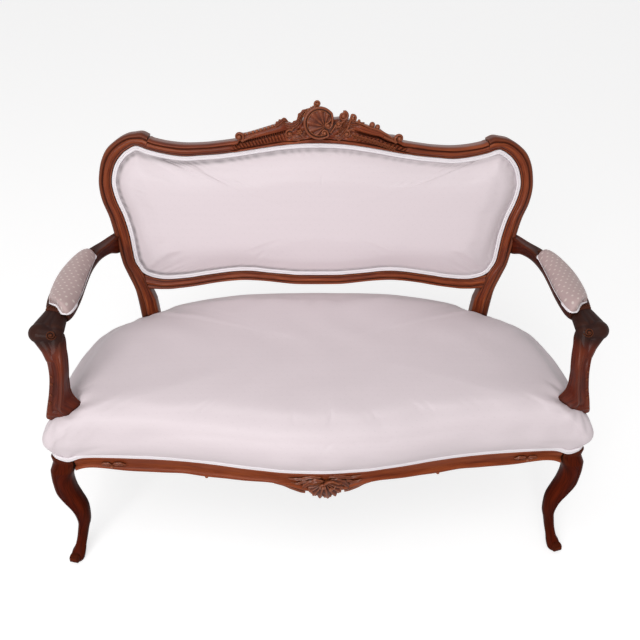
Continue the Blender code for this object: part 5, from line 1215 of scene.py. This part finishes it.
# The lower corner is a Bezier's arc from the rail to the post, drawn towards one point between them.
turn_share, turn_point = np.linspace(0, 1, 24)[1:-1, None], np.array([0.851 * half_width, 0.0345])
lower_turn = ((1 - turn_share) ** 2 * lower_top[-4] + 2 * turn_share * (1 - turn_share) * turn_point
              + turn_share ** 2 * stile[0])
panel_half = even(np.vstack([lower_top[:-3], lower_turn, stile[:-2], crest_edge[2:]]), 300)
panel = np.vstack([panel_half, (panel_half * [-1, 1])[-2:0:-1]])
panel_middle = np.array([0, panel_height * 0.53])


def distance_to(loop, points):
    """How far each point is from a closed line of points."""
    gaps = points[:, None].astype(np.float32) - loop[None].astype(np.float32)
    return np.sqrt((gaps ** 2).sum(axis=2).min(axis=1))


# %% Back cushion
edge = inset(panel, 0.0098)
shares = np.concatenate([np.linspace(1, 0.90, 22), np.linspace(0.88, 0.10, 30)])
rings = [panel_middle + (edge - panel_middle) * share for share in shares]
around = np.arange(len(panel)) * 0.0062
folds = np.sin(around / 0.0061 + 2.2 * np.sin(around / 0.031))
# How strong the painted shade along the seam is: most at the upper left.
painted_shade_upper_left = np.clip(0.62 - 0.45 * edge[:, 0] / half_width + 0.10 * edge[:, 1] / panel_height, 0.25, 1)
grid_rows = [back_point(edge[:, 0], edge[:, 1], forward) for forward in (-0.006, 0.000)]
weave_rows, painted_seam_shade_rows = [edge, edge], [np.zeros(len(edge)), np.zeros(len(edge))]
for ring in rings[1:]:
    away = distance_to(edge, ring)
    reach = 0.026 + 0.024 * ease(0.42 - ring[:, 1] / panel_height, 0, 0.30)
    swell = 0.0320 * (1 - np.exp(-(away / reach) ** 1.25)) + 0.0005
    grid_rows.append(back_point(ring[:, 0], ring[:, 1], swell + 0.0007 * folds * hump(away, 0.011, 0.006)))
    weave_rows.append(ring)
    # Painted shade just inside the cord, broken by the folds.
    painted_seam_shade_rows.append((0.84 + 0.16 * folds) * painted_shade_upper_left * hump(away, 0.0070, 0.0048))
stuffed("back_cushion", np.array(grid_rows), satin, 3, np.array(weave_rows), 0.0022, np.array(painted_seam_shade_rows))

# %% Double cord round the back
for name, distance, lift, takes in (("back_piping", 0.0032, 0.0018, ["back_piping"]),
                                    ("back_piping_inner", 0.0088, 0.0028, [])):
    line = inset(panel, distance)
    piped(name, back_point(line[:, 0], line[:, 1], lift), 0.0031, takes, closed_path=True)

# %% The seat's rings
corner = np.array([seat_half_width, front_corner_y])


def seat_half(distance, radius):
    """The right half of the seat's outline moved inwards: front, an arc at the corner, side and rear."""
    front_half = beside(front_line, distance)
    front_half = front_half[(front_half[:, 0] >= 0) & (front_half[:, 0] < corner[0] - distance - radius)]
    front_half[0, 0] = 0
    side_half = beside(side_line, distance)
    side_half = side_half[side_half[:, 1] > corner[1] + distance + radius]
    turn = np.radians(np.linspace(-90, 0, 13))
    quarter = radius * np.column_stack([np.cos(turn), np.sin(turn)])
    arc = corner + [-distance - radius, distance + radius] + quarter
    rear = np.array([side_half[-1], (0, side_half[-1][1])])
    return np.vstack([even(front_half, 130), arc, even(side_half, 76)[1:], even(rear, 40)[1:]])


def seat_loop(distance=0.0, radius=corner_radius):
    """The whole outline, the right half and its mirror image."""
    half = seat_half(distance, radius)
    return np.vstack([half, (half * [-1, 1])[-2:0:-1]])


seat_middle = np.array([0, rear_y - 0.54 * seat_depth])
seat_crown, side_bulge, corner_bulge, swell_reach = 0.143, 0.008, 0.012, 0.110
base_z = ledge_z + 0.0076


def at_height(ring, height):
    """A ring in plan at one height, or at one for each point."""
    return np.column_stack([ring, np.broadcast_to(height, len(ring))])


def depth_share(loop):
    """0 in the middle of the seat and 1 at its rear."""
    return (loop[:, 1] - seat_middle[1]) / (rear_y - seat_middle[1])


def corner_fall(loop):
    """How far the seat is pulled down towards the back posts."""
    share, deep = np.clip((np.abs(loop[:, 0]) / seat_half_width - 0.10) / 0.68, 0, 1), depth_share(loop)
    return share ** 2.3 * (0.55 * ease(deep, 0.30, 1.10) + 0.40 * ease(deep, 0.80, 1.0))


def swollen(loop, amount):
    """The wall swells over the front corners."""
    away = np.hypot(np.abs(loop[:, 0]) - corner[0], loop[:, 1] - corner[1])
    moved = loop.copy()
    moved[:, 0] += np.sign(loop[:, 0]) * hump(away, 0, swell_reach) * amount
    return moved


# %% From the edge up the wall to the crown
outline = seat_loop()
rear = np.clip((depth_share(outline) - 0.75) / 0.2, 0, 1)
fall = corner_fall(outline)
at_rear = rear[:, None] > 0.5
pull = 1 - 0.62 * fall
# The wall: how far out, the corner's radius, its bulge, and the height in front and what the rear adds.
wall_rings = ((-side_bulge, 1.6, corner_bulge, 0.24, 0.06),
              (-0.2 * side_bulge, 2.0, corner_bulge / 2, 0.48, 0.14))
# The crown: the share of the outline, and the height in front and at the rear.
crown_rings = ((0.965, 0.70, 0.90), (0.905, 0.83, 0.955), (0.80, 0.905, 0.975), (0.58, 0.965, 0.99),
               (0.28, 0.995, 1.0), (0.06, 1.0, 1.0))
knots = [at_height(inset(outline, 0.004), base_z - 0.003),
         at_height(np.where(at_rear, outline, seat_loop(-0.001)), base_z + 0.001)]
for out, radius, bulge, low_share, rear_share in wall_rings:
    ring = np.where(at_rear, outline, swollen(seat_loop(out, radius * corner_radius), bulge))
    knots.append(at_height(ring, base_z + seat_crown * (low_share + rear_share * rear) * pull))
soft = seat_loop(0, 2.2 * corner_radius)
for share, front_rise, rear_rise in crown_rings:
    height = (front_rise + (rear_rise - front_rise) * rear) * (1 - 0.72 * fall * share ** 4)
    knots.append(at_height(seat_middle + (soft - seat_middle) * share, base_z + seat_crown * height))
ring_count = 70
seat_grid = smooth(np.array(knots), ring_count)
seat_x, seat_y, seat_z = np.moveaxis(seat_grid, -1, 0)
ring_number = np.arange(ring_count)[:, None]

# %% Where the seat is pulled in, and its faint hollows
# The three axes above are views of the grid, so each step below moves its points.
foot_x, foot_y, post_x, post_y, pleat_x, pleat_y = 0.598, -0.222, 0.500, 0.200, 0.632, -0.225
from_side = looked_up(side_line[:, ::-1], seat_y) - np.abs(seat_x)
on_top = ease(ring_number, 24, 33)
behind_support = ease(seat_y, -0.20, -0.12) * ease(0.20 - seat_y, 0, 0.08)
side_roll = 0.0035 * hump(from_side, 0.012, 0.012) - 0.0085 * hump(from_side, 0.040, 0.017)
seat_z += on_top * behind_support * side_roll
foot_gap = np.hypot(np.abs(seat_x) - foot_x, seat_y - foot_y)
post_gap = np.hypot(np.abs(seat_x) - post_x, 0.8 * (seat_y - post_y))
seat_z -= on_top * (0.012 * hump(foot_gap, 0, 0.028) + 0.020 * hump(post_gap, 0, 0.055))
hollows = (np.sin(seat_x / 0.034 + 1.7 * np.sin(seat_y / 0.050))
           * np.sin(seat_y / 0.041 + 1.3 * np.sin(seat_x / 0.070)))
seat_z += 0.0009 * hollows * ease(ring_number, 20, 36)
wall = ease(0.462 - seat_z, 0, 0.03) * ease(-0.20 - seat_y, 0, 0.03)
wall *= ease(seat_z, base_z + 0.004, base_z + 0.022)
seat_y -= 0.0014 * np.sin(seat_x / 0.027 + 1.9 * np.sin(seat_x / 0.083)) * wall
corner_gap = np.hypot(np.abs(seat_x) - pleat_x, seat_y - pleat_y)
toward = np.arctan2(np.abs(seat_x) - pleat_x, pleat_y - seat_y)
seat_z += 0.0022 * np.cos(9 * toward) * hump(corner_gap, 0.055, 0.035) * ease(seat_z, 0.39, 0.43)

# %% The cloth hangs lower over each front leg
dip_depth = 0.0075


def corner_dip(x, y):
    """Where the cord and the cloth hang lower, over the face of each front leg."""
    return hump(np.abs(x), 0.620, 0.021) * ease(-0.240 - y, 0, 0.012)


hanging = corner_dip(seat_x, seat_y) * (1 - ease(seat_z, base_z, base_z + 0.032))
seat_z -= dip_depth * hanging
seat_y -= 0.0030 * hanging

# %% The weave on the seat
# On top the weave is the plan; below the shoulder it runs on outwards by the length down the wall.
shoulder = 34
outward = -leftwards(directions(outline, ring=True))
steps = np.linalg.norm(np.diff(seat_grid, axis=0), axis=2)
run_out = np.concatenate([np.zeros((1, seat_grid.shape[1])), np.cumsum(steps, axis=0)])
beyond = np.maximum(run_out[shoulder] - run_out, 0)
unrolled = seat_grid[shoulder, :, :2] + outward * beyond[..., None]
weave = np.where(ring_number[..., None] < shoulder, unrolled, seat_grid[..., :2])
stuffed("seat_cushion", seat_grid, satin, 3, weave, 0.0045)

# %% Double cord round the seat
stop = rail_seat_y - 0.0035
for name, height, distance, takes in (("seat_piping", 0.0032, 0.0018, ["seat_piping"]),
                                      ("seat_piping_upper", 0.0088, 0.0014, [])):
    half = seat_half(distance, corner_radius)
    half = half[half[:, 1] < stop]
    line = np.vstack([(half * [-1, 1])[:0:-1], half])
    dip = corner_dip(line[:, 0], line[:, 1])
    path = np.column_stack([line[:, 0], line[:, 1] - 0.0045 * dip, ledge_z + height - dip_depth * dip])
    piped(name, path, 0.0033 + 0.0007 * dip, takes)

# %% Arm pads and their cords
pad_section = [(-0.90, 0.00), (-0.96, 0.22), (-0.86, 0.55), (-0.52, 0.88), (0.00, 1.00), (0.52, 0.88),
               (0.86, 0.55), (0.96, 0.22), (0.90, 0.00)]
under = np.column_stack([np.linspace(0.86, -0.86, 12), np.zeros(12)])
section = np.vstack([smooth(pad_section, 49), under])
pad_place = np.linspace(3.42, 7.62, 60)
centre, across, wide, high = arm_line(pad_place)
step = np.linspace(-1, 1, 60)
share = np.sqrt(np.maximum(1 - np.abs(step) ** np.where(step < 0, 7, 26), 0)) * 0.45 + 0.55
half = (wide + 0.0022) * share
middle = centre[:, :2] - across[:, :2] * 0.0062
ahead = directions(centre[:, :2])
skew = 0.0120 * ease(pad_place, 6.3, 7.5)
crown = (pad_crown - 0.002) * (0.80 * share + 0.20)
shift = -skew[:, None] * section[:, 0]
pad_plan = (middle[:, None] + across[:, None, :2] * (half[:, None] * section[:, 0])[..., None]
            + ahead[:, None] * shift[..., None])
pad_z = (centre[:, 2] + high + joint_gap)[:, None] + crown[:, None] * section[:, 1]
pad_grid = np.concatenate([pad_plan, pad_z[..., None]], axis=-1)
run = lengths(np.column_stack([middle, crown]))
weave = np.stack(np.broadcast_arrays(half[:, None] * 1.35 * section[:, 0], run[:, None]), axis=-1)
edges = []
for way in (1, -1):
    edge_plan = middle + across[:, :2] * (way * half * 0.915)[:, None] - ahead * (way * 0.93 * skew)[:, None]
    edges.append(at_height(edge_plan, centre[:, 2] + high + 0.0028))
pad_loop = even(np.vstack([edges[0], edges[1][::-1], edges[0][:1]]), 260)[:-1]
from_ends = np.minimum(np.abs(pad_loop[:, 1] - centre[0, 1]), np.abs(pad_loop[:, 1] - centre[-1, 1]))
pad_cord = 0.0008 + 0.0026 * ease(0.024 - from_ends, 0, 0.012)
for side, hand in ((-1, "left"), (1, "right")):
    stuffed("arm_pad_" + hand, flipped(pad_grid, side), pad_satin, 1, weave, 0.003)
    piped("arm_piping_" + hand, flipped(pad_loop, side), pad_cord, ["arm_piping_" + hand], closed_path=True)

# %% [markdown]
# ## Behind and underneath
# The outside of the back is one flat cloth, and black cambric closes the seat from below, so that no
# dust falls from the webbing. Both are sheets stretched and tacked.


outer_face, inner_face = -0.0267, -0.0255
edge = inset(panel, joint_gap)
shares = np.concatenate([np.linspace(1, 0.9, 6), np.linspace(0.8, 0.1, 8)])
rows_out, rows_in = [], []
for share in shares:
    ring = panel_middle + (edge - panel_middle) * share
    sag = 0.0012 * (1 - share ** 3)
    rows_out.append(back_point(ring[:, 0], ring[:, 1], outer_face + sag))
    rows_in.append(back_point(ring[:, 0], ring[:, 1], inner_face + sag))
cover = surface("outside_back_cover", [np.array(rows_out[::-1] + rows_in)], satin,
                ["outside_back_cover"])
map_points(cover.data, "weave", read(cover.data.vertices, "co", 3)[:, [0, 2]])
width, height = np.ptp(edge[:, 0]), np.ptp(edge[:, 1])

# %% Dust cover
cover_level = float(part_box("dust_cover")[1][2])
post_inner, clearance, hem_gap, cloth_thick = 0.460, 0.002, 0.0006, 0.0008
inner = np.array([leg_face[0] - clearance, leg_face[1] + clearance])
half = seat_half(skirt + hem_gap, corner_radius)
front_part = half[(half[:, 0] < inner[0]) & (half[:, 1] < 0)]
side_part = half[(half[:, 1] > inner[1]) & (half[:, 0] > post_inner)]
side_part = side_part[side_part[:, 1] < rail_seat_y - clearance]
rear_part = np.array([(post_inner, rail_seat_y - clearance), (post_inner, rear_y - skirt - hem_gap),
                      (0, rear_y - skirt - hem_gap)])
half = np.vstack([even(front_part, 90), inner, even(side_part, 60), even(rear_part, 60)])
edge = np.vstack([half, (half * [-1, 1])[-2:0:-1]])
middle = np.array([0, rear_y - 0.5 * seat_depth])
shares = np.concatenate([np.linspace(1, 0.90, 8), np.linspace(0.84, 0.08, 14)])
rows_under, rows_over = [], []
for share in shares:
    ring = middle + (edge - middle) * share
    crease = 0.0006 * np.sin(np.arange(len(edge)) * 1.1) * hump(share, 0.955, 0.03)
    sag = 0.006 * (1 - share ** 3) + crease
    rows_under.append(at_height(ring, cover_level - cloth_thick - sag))
    rows_over.append(at_height(ring, cover_level - sag))
dust_cover = surface("dust_cover", [np.array(rows_under[::-1] + rows_over)], cambric,
                     ["dust_cover"])
tacked = even(np.vstack([edge, edge[:1]]), 61)[:-1]
tack_places = middle + (tacked - middle) * 0.985
tacks = [ball((*spot, cover_level - 0.0010), (0.0028, 0.0028, 0.0014), 6, 10) for spot in tack_places]
surface("dust_cover_tacks", tacks, steel)

# %% Finishes of the hidden pieces
for names, finish in ((["rear_rail", "corner_block_front_left", "corner_block_front_right",
                        "corner_block_rear_left", "corner_block_rear_right", "crest_dowel_left",
                        "crest_dowel_right"], beech),
                      (["seat_webbing", "back_webbing"], jute), (["spring_canvas"], hessian),
                      (["seat_spring_%02d" % number for number in range(1, 11)], steel)):
    for name in names:
        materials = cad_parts[name].data.materials
        if len(materials):
            materials[0] = finish
        else:
            materials.append(finish)

# %% [markdown]
# ## Studio
# A pale floor and an even, soft light from in front and above, as by a large window behind the camera.
# The camera sees floor and backdrop brighter than they light the settee, as in a cut-out picture.

# %% Floor, world and lamps
def straight_to_camera(tree):
    """1 where the camera looks at it, or sees it in a mirror or through glass, and 0 where it lights."""
    rays = node(tree, "LightPath").outputs
    seen = maths(tree, "MAXIMUM", rays["Is Camera Ray"], rays["Is Glossy Ray"])
    return maths(tree, "MAXIMUM", seen, rays["Is Transmission Ray"])


floor_mesh = bpy.data.meshes.new("floor")
floor_mesh.from_pydata([(-6, -6, 0), (6, -6, 0), (6, 6, 0), (-6, 6, 0)], [], [(0, 1, 2, 3)])
floor = bpy.data.objects.new("floor", floor_mesh)
scene.collection.objects.link(floor)
floor_finish, floor_tree, floor_shader = blank_finish("pale_floor", Roughness=0.9)
floor_shader.inputs["Base Color"].default_value = linear("#bcbbbb")
floor_shader.inputs["Emission Color"].default_value = linear("#ffffff")
floor_glow = maths(floor_tree, "MULTIPLY", straight_to_camera(floor_tree), 0.66)
floor_tree.links.new(floor_glow, floor_shader.inputs["Emission Strength"])
floor_mesh.materials.append(floor_finish)
world = bpy.data.worlds.new("studio")
scene.world = world
world.use_nodes = True
sky_tree = world.node_tree
background = sky_tree.nodes["Background"]
background.inputs["Color"].default_value = linear("#ffffff")
sky_light = maths(sky_tree, "MULTIPLY_ADD", straight_to_camera(sky_tree), 0.52, 0.36)
sky_tree.links.new(sky_light, background.inputs["Strength"])
for name, place, aim, size, power in (("window", (-1.6, -4.3, 2.6), (0, 0, 0.55), (3.2, 2.4), 142.0),
                                      ("ceiling", (-0.4, -0.9, 3.2), (0, 0, 0.4), (2.4, 1.8), 24.0)):
    lamp = bpy.data.lights.new(name, "AREA")
    lamp.shape, lamp.size, lamp.size_y, lamp.energy = "RECTANGLE", size[0], size[1], power
    made = bpy.data.objects.new(name, lamp)
    made.location = place
    made.rotation_euler = (Vector(place) - Vector(aim)).to_track_quat("Z", "Y").to_euler()
    scene.collection.objects.link(made)
scene.view_settings.view_transform = "Standard"
